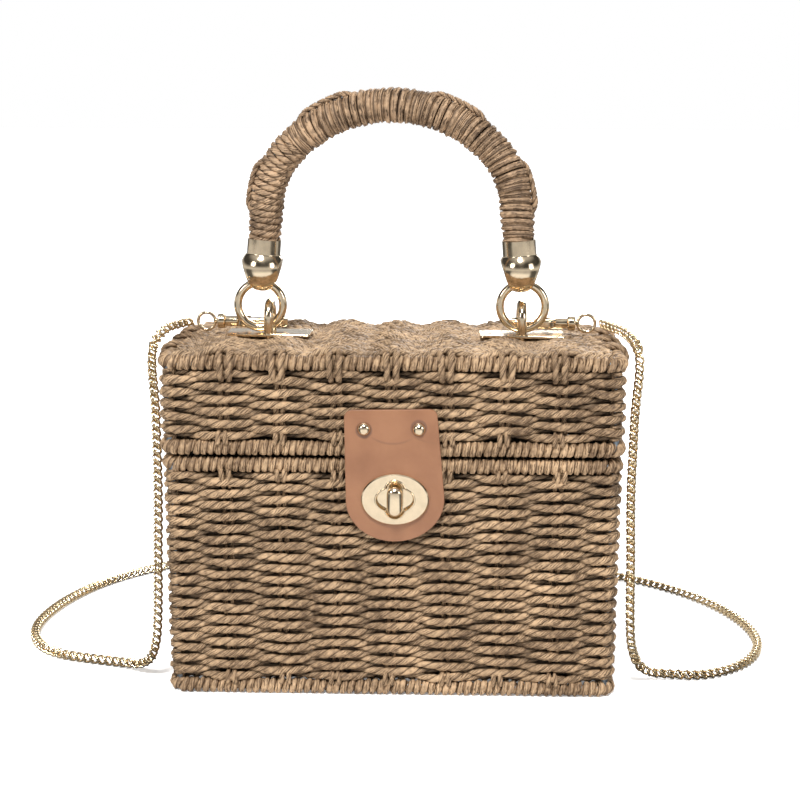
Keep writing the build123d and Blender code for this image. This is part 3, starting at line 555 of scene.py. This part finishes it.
lid_rows = wall_rows(lambda z: lid_half, 116.6, 143.2, 2.65)
lid_weave = lay_rope("lid_weave_sides", lid_rows, rope_radius, wall_ply, wall_paper, "lid", True)
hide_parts("lid_weave")
lay_rope("lid_stakes", stake_runs(lid_half, lid_half, 113.0, 147.0), stake_radius, stake_ply, wrap_paper, "lid")

# Corner posts: each upright wire at a corner is wound with a thin rope of the same paper, which keeps
# the rows from slipping on the bare wire. It is hidden behind them.
corner_bays = (0, front_bays, front_bays + side_bays, 2 * front_bays + side_bays)
coil_reach, coil_rope, coil_pitch, coil_steps = 1.75, 1.3, 2.6, 9


def post_coils(half_low, half_high, low_z, high_z):
    """One run of close turns round each corner post."""
    runs = []
    for bay in corner_bays:
        turns = round((high_z - low_z) / coil_pitch)
        run = []
        for step in range(turns * coil_steps):
            share = step / (turns * coil_steps)
            angle = 2 * math.pi * step / coil_steps
            x, y = around_wall(between(half_low, half_high, share), bay, 0)
            run.append(((x + coil_reach * math.cos(angle), y + coil_reach * math.sin(angle),
                         low_z + (high_z - low_z) * share), 1.0))
        runs.append(run)
    return runs


lay_rope("body_corner_wraps", post_coils(foot_half, body_half, 7.0, 100.5), coil_rope, 12.0, wall_paper, "basket")
lay_rope("lid_corner_wraps", post_coils(lid_half, lid_half, 114.5, 145.0), coil_rope, 12.0, wall_paper, "lid")

# Lid top: ropes lie close together along the lid, up over each pair of stakes and down between,
# twisted left and right in turn so that they read as a braid. They lie lower under the plates.
top_ropes = {1: [], -1: []}
rope_count, top_steps, top_half = 27, 110, (93.5, 45.6)
plate_middle, plate_half, under_plate = 57.4, (22, 13), 151.2
for number in range(rope_count):
    y = -top_half[1] + 2 * top_half[1] * number / (rope_count - 1)
    lift, drift = wander(0.5), wander(0.5)
    run = []
    for step in range(top_steps + 1):
        x = -top_half[0] + 2 * top_half[0] * step / top_steps
        bay = (x + lid_half[0]) / (2 * lid_half[0]) * front_bays
        crest = math.cos(2 * math.pi * bay)
        z = 151.5 + 1.15 * crest + 0.35 * (1 if number % 2 else -1) * math.cos(math.pi * bay)
        turn = 2 * math.pi * step / top_steps
        z += lift(turn)
        if abs(abs(x) - plate_middle) < plate_half[0] and abs(y) < plate_half[1]:
            z = min(z, under_plate)
        edge = max(0, abs(x) - 88) / 6
        run.append(((x, y + drift(turn), z - 1.6 * edge ** 2), 0.98))
    top_ropes[1 if number % 2 else -1].append(run)
top_rope, top_ply = 2.05, 9.5
lay_rope("lid_top_right_laid", top_ropes[1], top_rope, top_ply, paper_painted_lighter, "lid")
lay_rope("lid_top_left_laid", top_ropes[-1], top_rope, -top_ply, paper_painted_lighter, "lid")

# Rims: a single rope is wound closely round each of the four wire rings, two for the basket and two
# for the lid. It hides the ends of the stakes.
wrap_rope, rim_ply, rim_pitch, rim_steps = 1.7, -15.0, 3.2, 12


def rim_coils(half, z):
    """One closed run that winds round a rim."""
    perimeter = 4 * (half[0] + half[1]) - (8 - 2 * math.pi) * wire_corner
    coils = round(perimeter / rim_pitch)
    lean, swell = wander(0.8, 14), wander(0.15, 12)
    run = []
    for step in range(coils * rim_steps):
        turn = 2 * math.pi * step / (coils * rim_steps)
        angle = 2 * math.pi * step / rim_steps
        reach = rim_radius - wrap_rope + swell(turn * 4)
        bay = bay_total * (step / (coils * rim_steps) + (0.35 * math.sin(angle) + lean(turn * 3)) / perimeter)
        x, y = around_wall(half, bay, reach * math.cos(angle))
        thick = 1.03 + 0.07 * math.sin(turn * 37) * math.sin(turn * 23)
        run.append(((x, y, max(z + reach * math.sin(angle), wrap_rope)), thick))
    return run


for name, half, z, body in (("body_bottom_rim", foot_half, foot_z, "basket"),
                            ("body_top_rim", body_half, body_z, "basket"),
                            ("lid_bottom_rim", lid_half, lid_z, "lid"), ("lid_top_rim", lid_half, top_z, "lid")):
    rim = lay_rope(name + "_wrap", [rim_coils(half, z)], wrap_rope, rim_ply, wrap_paper, body, True, 0.95)
    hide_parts(name)

# Lashings: a pair of short ropes at each stake line ties the first row of the weave to its rim. The
# upper rim's are long and start on the lid's top; the others reach only over the nearest row.
part_steps = 4


def lashing_runs(half, z, profile, spread):
    """Short rope pairs at every stake line. The profile gives (outward, height, thickness) stations."""
    runs = []
    for bay in range(bay_total):
        if bay in corner_bays:
            continue
        drift = chance.uniform(-0.05, 0.05)
        for side in (-1, 1):
            run = []
            for step in range((len(profile) - 1) * part_steps + 1):
                station, part = divmod(step, part_steps)
                share = part / part_steps
                low, high = profile[station], profile[min(station + 1, len(profile) - 1)]
                out, up, thick = between(low, high, share)
                place = bay + drift + side * spread * (1.25 - 0.5 * step / (len(profile) * part_steps))
                x, y = around_wall(half, place, out)
                run.append(((x, y, z + up), thick))
            runs.append(run)
    return runs


top_profile = [(-7.5, 3.4, 0.8), (-4.5, 4.4, 0.95), (0.0, 4.5, 1.0), (3.4, 3.0, 1.0), (4.6, 0.0, 1.0),
               (4.2, -3.4, 1.0), (3.2, -6.0, 0.95), (0.6, -7.6, 0.8)]
low_profile = [(0.6, -1.6, 0.8), (3.3, -2.6, 0.95), (3.3, -4.6, 0.95), (2.6, -6.4, 0.9), (0.2, -7.4, 0.7)]
high_profile = [(out, -up, thick) for out, up, thick in low_profile]
for name, half, z, profile, spread, radius, ply_pitch, body in (
        ("lid_top_lashings", lid_half, top_z, top_profile, 0.085, 1.55, 11.0, "lid"),
        ("lid_rim_lashings", lid_half, lid_z, high_profile, 0.06, 1.2, 10.0, "lid"),
        ("body_rim_lashings", body_half, body_z, low_profile, 0.06, 1.2, 10.0, "basket"),
        ("foot_rim_lashings", foot_half, foot_z, high_profile, 0.06, 1.2, 10.0, "basket")):
    lay_rope(name, lashing_runs(half, z, profile, spread), radius, ply_pitch, wrap_paper, body)

# Handle: one rope wound closely round the arched core, and a decorative strand along the outside
# that shows between bands of wraps. The plated caps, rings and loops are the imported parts.
handle_shift, handle_y = -1.9, -1.7
ball_z, leg_foot, leg_lean, straight_z = 183.55, 58.2, math.radians(4.5), 213.0
shoulder, handle_top = 39.5, 256.3
straight_x = leg_foot - (straight_z - ball_z) * math.tan(leg_lean)
shoulder_x = straight_x - shoulder * math.cos(leg_lean)
shoulder_z = straight_z - shoulder * math.sin(leg_lean)
rise = handle_top - shoulder - shoulder_z
crown = shoulder + (shoulder_x ** 2 + rise ** 2) / (2 * rise)
crown_z = handle_top - crown
meet_angle = math.atan2(shoulder_z - crown_z, shoulder_x)
leg_length = (straight_z - ball_z) / math.cos(leg_lean)
shoulder_length = shoulder * (meet_angle - leg_lean)
crown_length = crown * (math.pi / 2 - meet_angle)
half_handle = leg_length + shoulder_length + crown_length


def handle_at(distance):
    """Point on the handle's middle line and the direction away from the hand, from the left ball."""
    side = -1 if distance < half_handle else 1
    far = distance if distance < half_handle else 2 * half_handle - distance
    if far < leg_length:
        x = leg_foot - far * math.sin(leg_lean)
        z = ball_z + far * math.cos(leg_lean)
        angle = leg_lean
    elif far < leg_length + shoulder_length:
        angle = leg_lean + (far - leg_length) / shoulder
        x = shoulder_x + shoulder * math.cos(angle)
        z = shoulder_z + shoulder * math.sin(angle)
    else:
        angle = meet_angle + (far - leg_length - shoulder_length) / crown
        x = crown * math.cos(angle)
        z = crown_z + crown * math.sin(angle)
    return Vector((handle_shift + side * x, handle_y, z)), Vector((side * math.cos(angle), 0, math.sin(angle)))


wrap_start, cap_rim = 12.0, 14.5
handle_rope, handle_ply, handle_radius, coil_points = 1.66, -10.4, 7.9, 18
handle_coils = round((2 * half_handle - 2 * wrap_start) / 2.95)
lean, swell = wander(0.65, 14), wander(0.3, 9)
run = []
for step in range(handle_coils * coil_points + 1):
    share = step / (handle_coils * coil_points)
    angle = 2 * math.pi * step / coil_points
    distance = wrap_start + share * 2 * (half_handle - wrap_start)
    distance = min(max(distance + 1.0 * math.sin(angle) + lean(share * 12), wrap_start), 2 * half_handle - wrap_start)
    near_cap = min(distance, 2 * half_handle - distance)
    slim = 0.92 if near_cap < cap_rim else min(1.0, 0.92 + (near_cap - cap_rim) * 0.01)
    centre, outward = handle_at(distance)
    reach = (handle_radius * slim - handle_rope + swell(share * 20)) * (0.86 if near_cap < 13.4 else 1)
    place = centre + outward * reach * math.cos(angle) + Vector((0, reach * math.sin(angle), 0))
    run.append((tuple(place), 1.0 + 0.06 * math.sin(share * 90)))
handle_wrap = lay_rope("handle_wrap_rope", [run], handle_rope, handle_ply, handle_paper, "handle", False, 0.98)
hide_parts("handle_wrap")

strand_steps, strand_seen = 30, ((24, 48), (65, 93))
strand_runs = []
for start, end in strand_seen + tuple((2 * half_handle - end, 2 * half_handle - start)
                                      for start, end in reversed(strand_seen)):
    run = []
    for step in range(strand_steps + 1):
        share = step / strand_steps
        centre, outward = handle_at(start + share * (end - start))
        proud = min(1, 4 * share, 4 * (1 - share))
        lift = 5.0 + 3.2 * math.sin(proud * math.pi / 2)
        run.append((tuple(centre + outward * lift + Vector((0, -1.6 + 1.2 * math.sin(share * 6), 0))), 1.0))
    strand_runs.append(run)
handle_strand = lay_rope("handle_outer_strand", strand_runs, 1.4, 8.0, handle_paper, "handle")
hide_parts("handle_strand")

# Leather tab: one strap of tan leather with painted edges, rounded at its lower end, riveted to the
# lid's front and cut out for the turn lock's eyelet.
tab_lean, rivet_z, lock_x, lock_z = math.radians(3.0), 120.8, 1.598, 90.3
tab_back_y, tab_thick = -52.9, 1.9
tab_half_low, tab_half_top, tab_wide_z, tab_top = 20.8, 19.5, 89.8, 130.8
tab_end_drop, tab_corner, tab_trim = 18, 3.0, 4.9


def leather_outline():
    """Corners of the tab round its edge, in X and Z."""
    edge = [(-tab_half_low * math.cos(step * math.pi / 32), tab_wide_z - tab_end_drop * math.sin(step * math.pi / 32))
            for step in range(33)]
    for middle_x, first in ((tab_half_top - tab_corner, 0), (tab_corner - tab_half_top, 90)):
        for step in range(7):
            angle = math.radians(first + 15 * step)
            edge.append((middle_x + tab_corner * math.cos(angle),
                         tab_top - tab_trim - 0.035 * middle_x + tab_corner * math.sin(angle)))
    return edge


def cut_across(shape, place, normal):
    """New edges all the way round a shape, where a plane meets it."""
    everything = shape.verts[:] + shape.edges[:] + shape.faces[:]
    bmesh.ops.bisect_plane(shape, geom=everything, plane_co=place, plane_no=normal)


hole_wide, hole_tall, hole_lobe, lobe_middle = 8.1, 5.3, 4.0, 4.1


def eyelet_hole(room):
    """Four-lobed opening of the lock, wider all round by some room."""
    edge = []
    for step in range(48):
        angle = 2 * math.pi * step / 48
        along_x, along_z = abs(math.cos(angle)), abs(math.sin(angle))
        wide = 1 / math.hypot(along_x / (hole_wide + room), along_z / (hole_tall + room))
        tall = (hole_lobe + room) / max(along_x, 1e-6)
        if along_z * tall > lobe_middle:
            tall = lobe_middle * along_z + math.sqrt((hole_lobe + room) ** 2 - (lobe_middle * along_x) ** 2)
        reach = max(wide, min(tall, hole_wide + room))
        edge.append((lock_x + reach * math.cos(angle), lock_z + reach * math.sin(angle)))
    return edge


leather, tree, shader = new_finish("tan_leather")
where = add(tree, "ShaderNodeTexCoord").outputs["Object"]
along_x = add(tree, "ShaderNodeSeparateXYZ", Vector=where).outputs["X"]
level = add(tree, "ShaderNodeVectorMath", {"operation": "MULTIPLY"}, {0: where, 1: (1, 0, 1)}).outputs[0]
patches = add(tree, "ShaderNodeTexNoise", Vector=where, Scale=70.0, Detail=4.0).outputs["Fac"]


def away_from(x, z):
    """Distance to a point on the tab's front, given in mm."""
    ends = {0: level, 1: (x * mm, 0, z * mm)}
    return add(tree, "ShaderNodeVectorMath", {"operation": "DISTANCE"}, ends).outputs["Value"]


def soft_step(value, start, end, first=0.0, last=1.0):
    """Soft step from first to last between two distances in mm."""
    return remap(tree, value, "SMOOTHSTEP", From_Min=start * mm, From_Max=end * mm, To_Min=first, To_Max=last)


# Each pressed fold is part of a circle, pressed in and painted darker as painted shade; round each rivet head a ring
# is pressed in a little and painted darker as a painted shadow.
folds, fold_end = [], 3
for fold_x, fold_z, fold_radius, half_width, first_x, last_x in ((0.5, 131.0, 16.5, 0.8, -8.0, 8.0),
                                                                 (19.0, 133.5, 18.5, 0.6, 8.5, 19.0)):
    off_line = maths(tree, "ABSOLUTE", maths(tree, "SUBTRACT", away_from(fold_x, fold_z), fold_radius * mm))
    window = maths(tree, "MULTIPLY", soft_step(along_x, first_x - fold_end, first_x + fold_end),
                   soft_step(along_x, last_x - fold_end, last_x + fold_end, 1.0, 0.0))
    folds.append(maths(tree, "MULTIPLY", soft_step(off_line, 0.0, half_width, 1.0, 0.0), window))
rivet_dents_and_shadows = [soft_step(away_from(x, z), 3.1, 3.9, 1.0, 0.0)
         for x, z in ((-11.68, rivet_z - 0.61), (11.68, rivet_z + 0.61))]
faint = ramp(tree, patches, [(0.42, 0.15), (0.6, 0.5)])
faint_folds = maths(tree, "MULTIPLY", maths(tree, "MAXIMUM", *folds), faint)
dents_and_painted_shade = maths(tree, "MAXIMUM", faint_folds, maths(tree, "MAXIMUM", *rivet_dents_and_shadows))
skin = ramp(tree, patches, [(0.3, (0.215, 0.092, 0.043)), (0.7, (0.275, 0.125, 0.06))])
pores = add(tree, "ShaderNodeTexVoronoi", Vector=where, Scale=1900.0).outputs["Distance"]
soft_grain = add(tree, "ShaderNodeTexNoise", Vector=where, Scale=900.0, Detail=3.0).outputs["Fac"]
fold_depth = -3.0
pressed = maths(tree, "MULTIPLY_ADD", dents_and_painted_shade, fold_depth, maths(tree, "ADD", pores, soft_grain))
# The folds and the rivet rings are mixed towards dark brown as painted shade and painted shadow, and the bump presses
# them in.
feed(tree, shader, {
    "Base Color": mixed(tree, dents_and_painted_shade, skin, (0.16, 0.075, 0.042, 1)),
    "Roughness": remap(tree, patches, To_Min=0.36, To_Max=0.52),
    "Normal": bumped(tree, pressed, 0.14, 0.3 * mm)})

edge_round = 0.35
flat = bpy.data.curves.new("leather_outline", "CURVE")
flat.dimensions = "2D"
flat.fill_mode = "BOTH"
flat.extrude = (tab_thick / 2 - edge_round) * mm
flat.bevel_depth = edge_round * mm
flat.bevel_resolution = 2
leaned = (Matrix.Translation((0, rivet_z, 0)) @ Matrix.Rotation(tab_lean, 4, "Z")
          @ Matrix.Translation((0, -rivet_z, 0)))
for edge, leaning in ((leather_outline(), True), (eyelet_hole(0.8), False)):
    spline = flat.splines.new("POLY")
    spline.points.add(len(edge) - 1)
    for point, (x, z) in zip(spline.points, edge):
        place = leaned @ Vector((x, z, 0)) if leaning else Vector((x, z, 0))
        point.co = (place.x * mm, place.y * mm, 0, 1)
    spline.use_cyclic_u = True
tab_mesh = mesh_of(flat, "leather_tab_strap")
tab_mesh.transform(Matrix.Translation((0, (tab_back_y - tab_thick / 2 + shift_y) * mm, 0))
                   @ Matrix.Rotation(math.pi / 2, 4, "X"))
tab_shape = bmesh.new()
tab_shape.from_mesh(tab_mesh)
bmesh.ops.remove_doubles(tab_shape, verts=tab_shape.verts, dist=1e-6)
for cut in range(73, 131, 2):
    cut_across(tab_shape, (0, 0, cut * mm), (0, 0, 1))
bmesh.ops.recalc_face_normals(tab_shape, faces=tab_shape.faces)
tab_shape.to_mesh(tab_mesh)
tab = link_up("leather_tab_strap", tab_mesh, leather)
edge_paint = leather.copy()
edge_paint.name = "leather_edge_paint"
edge_nodes = edge_paint.node_tree
edge_shader = edge_nodes.nodes["Principled BSDF"]
plain = edge_shader.inputs["Base Color"].links[0].from_socket
feed(edge_nodes, edge_shader, {"Base Color": mixed(edge_nodes, 1.0, plain, (0.62, 0.55, 0.5, 1), "MULTIPLY")})
tab_mesh.materials.append(edge_paint)
for face in tab_mesh.polygons:
    face.material_index = 1 if abs(face.normal.y) < 0.6 else 0
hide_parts("leather_tab")
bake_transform(tab)

# Eyelet lip: the eyelet's plated metal is rolled over at its opening, so a fine round edge stands a
# little proud of the plate, all round the four lobes.
lip_curve = bpy.data.curves.new("eyelet_lip", "CURVE")
lip_curve.dimensions = "3D"
lip_curve.bevel_depth = 0.42 * mm
lip_curve.bevel_resolution = 2
lip_line = lip_curve.splines.new("POLY")
lip_edge = eyelet_hole(0.35)
lip_line.points.add(len(lip_edge) - 1)
for point, (x, z) in zip(lip_line.points, lip_edge):
    point.co = (x * mm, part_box("eyelet_front")[0].y + 0.05 * mm, z * mm, 1)
lip_line.use_cyclic_u = True
link_up("eyelet_lip", mesh_of(lip_curve, "eyelet_lip"), gold, "tab_end")

# Turn knob: a domed oval grip of plated zinc, cast in one with its round stem and the flange that
# holds it behind the lock's base.
knob_low, knob_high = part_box("knob")
knob_centre = (knob_low + knob_high) / 2
grip_half, grip_thick, stem_radius, flange_radius, flange_thick = 3.4 * mm, 5.0 * mm, 2.4 * mm, 3.6 * mm, 0.9 * mm
grip_half_long = (knob_high.z - knob_low.z) / 2
knob_shape = bmesh.new()
grip = bmesh.ops.create_uvsphere(knob_shape, u_segments=32, v_segments=24, radius=grip_half)["verts"]
bmesh.ops.translate(knob_shape, verts=[v for v in grip if v.co.z > 1e-6], vec=(0, 0, grip_half_long - grip_half))
bmesh.ops.translate(knob_shape, verts=[v for v in grip if v.co.z < -1e-6], vec=(0, 0, grip_half - grip_half_long))
bmesh.ops.scale(knob_shape, verts=grip, vec=(1, grip_thick / 2 / grip_half, 1))
bmesh.ops.translate(knob_shape, verts=grip, vec=(knob_centre.x, knob_low.y + grip_thick / 2, knob_centre.z))
for radius, start, end in ((stem_radius, knob_low.y + grip_thick * 0.7, knob_high.y - flange_thick / 2),
                           (flange_radius, knob_high.y - flange_thick, knob_high.y)):
    rod = bmesh.ops.create_cone(knob_shape, cap_ends=True, segments=32, radius1=radius, radius2=radius,
                                depth=end - start)["verts"]
    middle = Matrix.Translation((knob_centre.x, (start + end) / 2, knob_centre.z))
    bmesh.ops.transform(knob_shape, verts=rod, matrix=middle @ Matrix.Rotation(math.pi / 2, 4, "X"))
bmesh.ops.recalc_face_normals(knob_shape, faces=knob_shape.faces)
knob_mesh = mesh_from(knob_shape, "knob_domed")
knob = link_up("knob_domed", knob_mesh, gold, "knob")
knob_mesh.set_sharp_from_angle(angle=math.radians(40))
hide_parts("knob")

# Hinge: three lashings of rope, each wound four times round both back rims, hold them together and
# let the lid swing.
tie_turns, tie_points, tie_width, tie_reach, tie_rise = 4, 20, 9.0, 4.95, 3.8
middle_y, middle_z = (body_half[1] + lid_half[1]) / 2, (body_z + lid_z) / 2
for label, place in (("left", -70.0), ("middle", 0.0), ("right", 70.0)):
    run = []
    for step in range(tie_turns * tie_points + 1):
        angle = 2 * math.pi * step / tie_points
        up = math.sin(angle)
        x = place - tie_width / 2 + tie_width * step / (tie_turns * tie_points)
        z = middle_z + math.copysign(tie_rise, up) * min(1, abs(up) * 3) + tie_reach * up
        run.append(((x, middle_y + tie_reach * math.cos(angle), z), 1.0))
    tie = lay_rope(f"hinge_lashing_{label}", [run], 1.35, 8.0, wrap_paper, None)
    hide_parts(f"hinge_tie_{label}")
    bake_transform(tie)

# Linings: brown cotton glued inside the basket and the lid, slightly puckered, with a folded and
# stitched hem along each opening.
lining, tree, shader = new_finish("lining_cotton")
where = add(tree, "ShaderNodeTexCoord").outputs["Object"]
warp, weft = (add(tree, "ShaderNodeTexWave", {"wave_type": "BANDS", "bands_direction": axis},
                  Vector=where, Scale=700.0, Distortion=0.6).outputs["Fac"] for axis in "XZ")
slubs = add(tree, "ShaderNodeTexNoise", Vector=where, Scale=120.0, Detail=3.0).outputs["Fac"]
feed(tree, shader, {
    "Base Color": ramp(tree, slubs, [(0.3, (0.2, 0.14, 0.09)), (0.7, (0.27, 0.195, 0.13))]),
    "Roughness": 0.9, "Normal": bumped(tree, maths(tree, "ADD", warp, weft), 0.4, 0.3 * mm)})
lining_thread = lining.copy()
lining_thread.name = "lining_thread"


def cotton_box(name, low, high, closed_end, end_round, body):
    """Thin puckered cloth box. The closed end is -1 at the bottom, 1 at the top, 0 for a plain band."""
    cloth = bmesh.new()
    bmesh.ops.create_cube(cloth, size=1)
    bmesh.ops.scale(cloth, vec=high - low, verts=cloth.verts)
    bmesh.ops.translate(cloth, vec=(low + high) / 2, verts=cloth.verts)
    cloth.normal_update()
    ends = [face for face in cloth.faces if abs(face.normal.z) > 0.9 and face.normal.z * closed_end < 0.5]
    bmesh.ops.delete(cloth, geom=ends, context="FACES_ONLY")
    if closed_end:
        end_z = low.z if closed_end < 0 else high.z
        rounded = [edge for edge in cloth.edges if all(abs(v.co.z - end_z) < 1e-5 for v in edge.verts)]
        bmesh.ops.bevel(cloth, geom=rounded, offset=end_round, segments=3, profile=0.5, affect="EDGES", material=-1)
    upright = [edge for edge in cloth.edges if abs(edge.verts[0].co.z - edge.verts[1].co.z) > 0.005
               and math.dist(edge.verts[0].co.xy, edge.verts[1].co.xy) < 1e-5]
    bmesh.ops.bevel(cloth, geom=upright, offset=4 * mm, segments=4, profile=0.5, affect="EDGES", material=-1)
    for axis in range(3):
        normal = Vector([float(other == axis) for other in range(3)])
        steps = max(2, int((high[axis] - low[axis]) / (6 * mm)))
        for step in range(1, steps):
            place = low + (high - low) * step / steps
            cut_across(cloth, place, normal)
    bmesh.ops.recalc_face_normals(cloth, faces=cloth.faces)
    middle = (low + high) / 2
    if sum((face.calc_center_median() - middle).dot(face.normal) for face in cloth.faces) < 0:
        bmesh.ops.reverse_faces(cloth, faces=cloth.faces)
    cloth.normal_update()
    for vert in cloth.verts:
        vert.co -= vert.normal * (0.15 + 0.15 * noise.noise(vert.co * 90)) * mm
    piece = link_up(name, mesh_from(cloth, name), lining, body)
    wall = piece.modifiers.new("cloth_thickness", "SOLIDIFY")
    wall.thickness = 0.8 * mm
    wall.offset = -1
    return piece


hem_height, hem_in, stitch_up, stitch_total = 8 * mm, 0.9 * mm, 1.5, 132
for node, closed_end, end_round, body in (("body_lining", -1, 2 * mm, "basket"), ("lid_lining", 1, 5 * mm, "lid")):
    low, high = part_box(node)
    cloth_piece = cotton_box(node + "_cotton", low, high, closed_end, end_round, body)
    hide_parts(node)
    inward = Vector((hem_in, hem_in, 0))
    if closed_end < 0:
        hem_low, hem_high = Vector((low.x, low.y, high.z - hem_height)) + inward, high - inward
    else:
        hem_low, hem_high = low + inward, Vector((high.x, high.y, low.z + hem_height)) - inward
    cotton_box(node + "_hem", hem_low, hem_high, 0, 0, body)
    stitch_runs = []
    hem_half = ((hem_high.x - hem_low.x) / 2 / mm, (hem_high.y - hem_low.y) / 2 / mm)
    stitch_z = (hem_low.z / mm + stitch_up) if closed_end < 0 else (hem_high.z / mm - stitch_up)
    for stitch in range(stitch_total):
        bay = bay_total * (stitch + 0.5) / stitch_total
        if bay % front_bays > 0.25:
            stitch_runs.append([((*around_wall(hem_half, bay + part, -1.15 + lift), stitch_z), 1.0)
                                for part, lift in ((-0.055, 0.3), (-0.03, -0.1), (0.03, -0.1), (0.055, 0.3))])
    lay_rope(node + "_stitches", stitch_runs, 0.3, 3.0, lining_thread, body)

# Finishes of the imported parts. Each cast, stamped or wire fitting gets a welded copy, shaded smooth
# with crisp edges, as plating runs over it; the hidden wire and washers get theirs in the same way.
steel = gold_plate("plain_steel_plate", (0.6, 0.6, 0.6), 0.25)
wire_paint = gold_plate("coated_wire", (0.3, 0.35, 0.4), 0.4)
finishes = {"pale_gold": gold, "plain_steel": steel, "coated_wire": wire_paint, "lining_cloth": lining,
            "paper_rope": wall_paper, "rope_core": handle_paper, "tan_leather": leather}
hard_slots = ("pale_gold", "plain_steel", "coated_wire")
body_of = {node: body for body, members in frame["record"]["behaviour"]["bodies"].items() for node in members}
for part in frame["record"]["subparts"]:
    name, slot = part["node"], part["material_slot"]
    nodes[name].data.materials.clear()
    nodes[name].data.materials.append(finishes[slot])
    if slot in hard_slots and not name.startswith("chain") and name != "knob":
        welded = bmesh.new()
        welded.from_mesh(nodes[name].data)
        bmesh.ops.remove_doubles(welded, verts=welded.verts, dist=2e-6)
        shape = mesh_from(welded, name + "_plated")
        fitting = link_up(name + "_plated", shape, finishes[slot], body_of[name])
        shape.set_sharp_from_angle(angle=math.radians(16 if name.startswith(("eyelet", "lock")) else 32))
        evened = fitting.modifiers.new("even_shading", "WEIGHTED_NORMAL")
        evened.keep_sharp = True
        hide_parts(name)
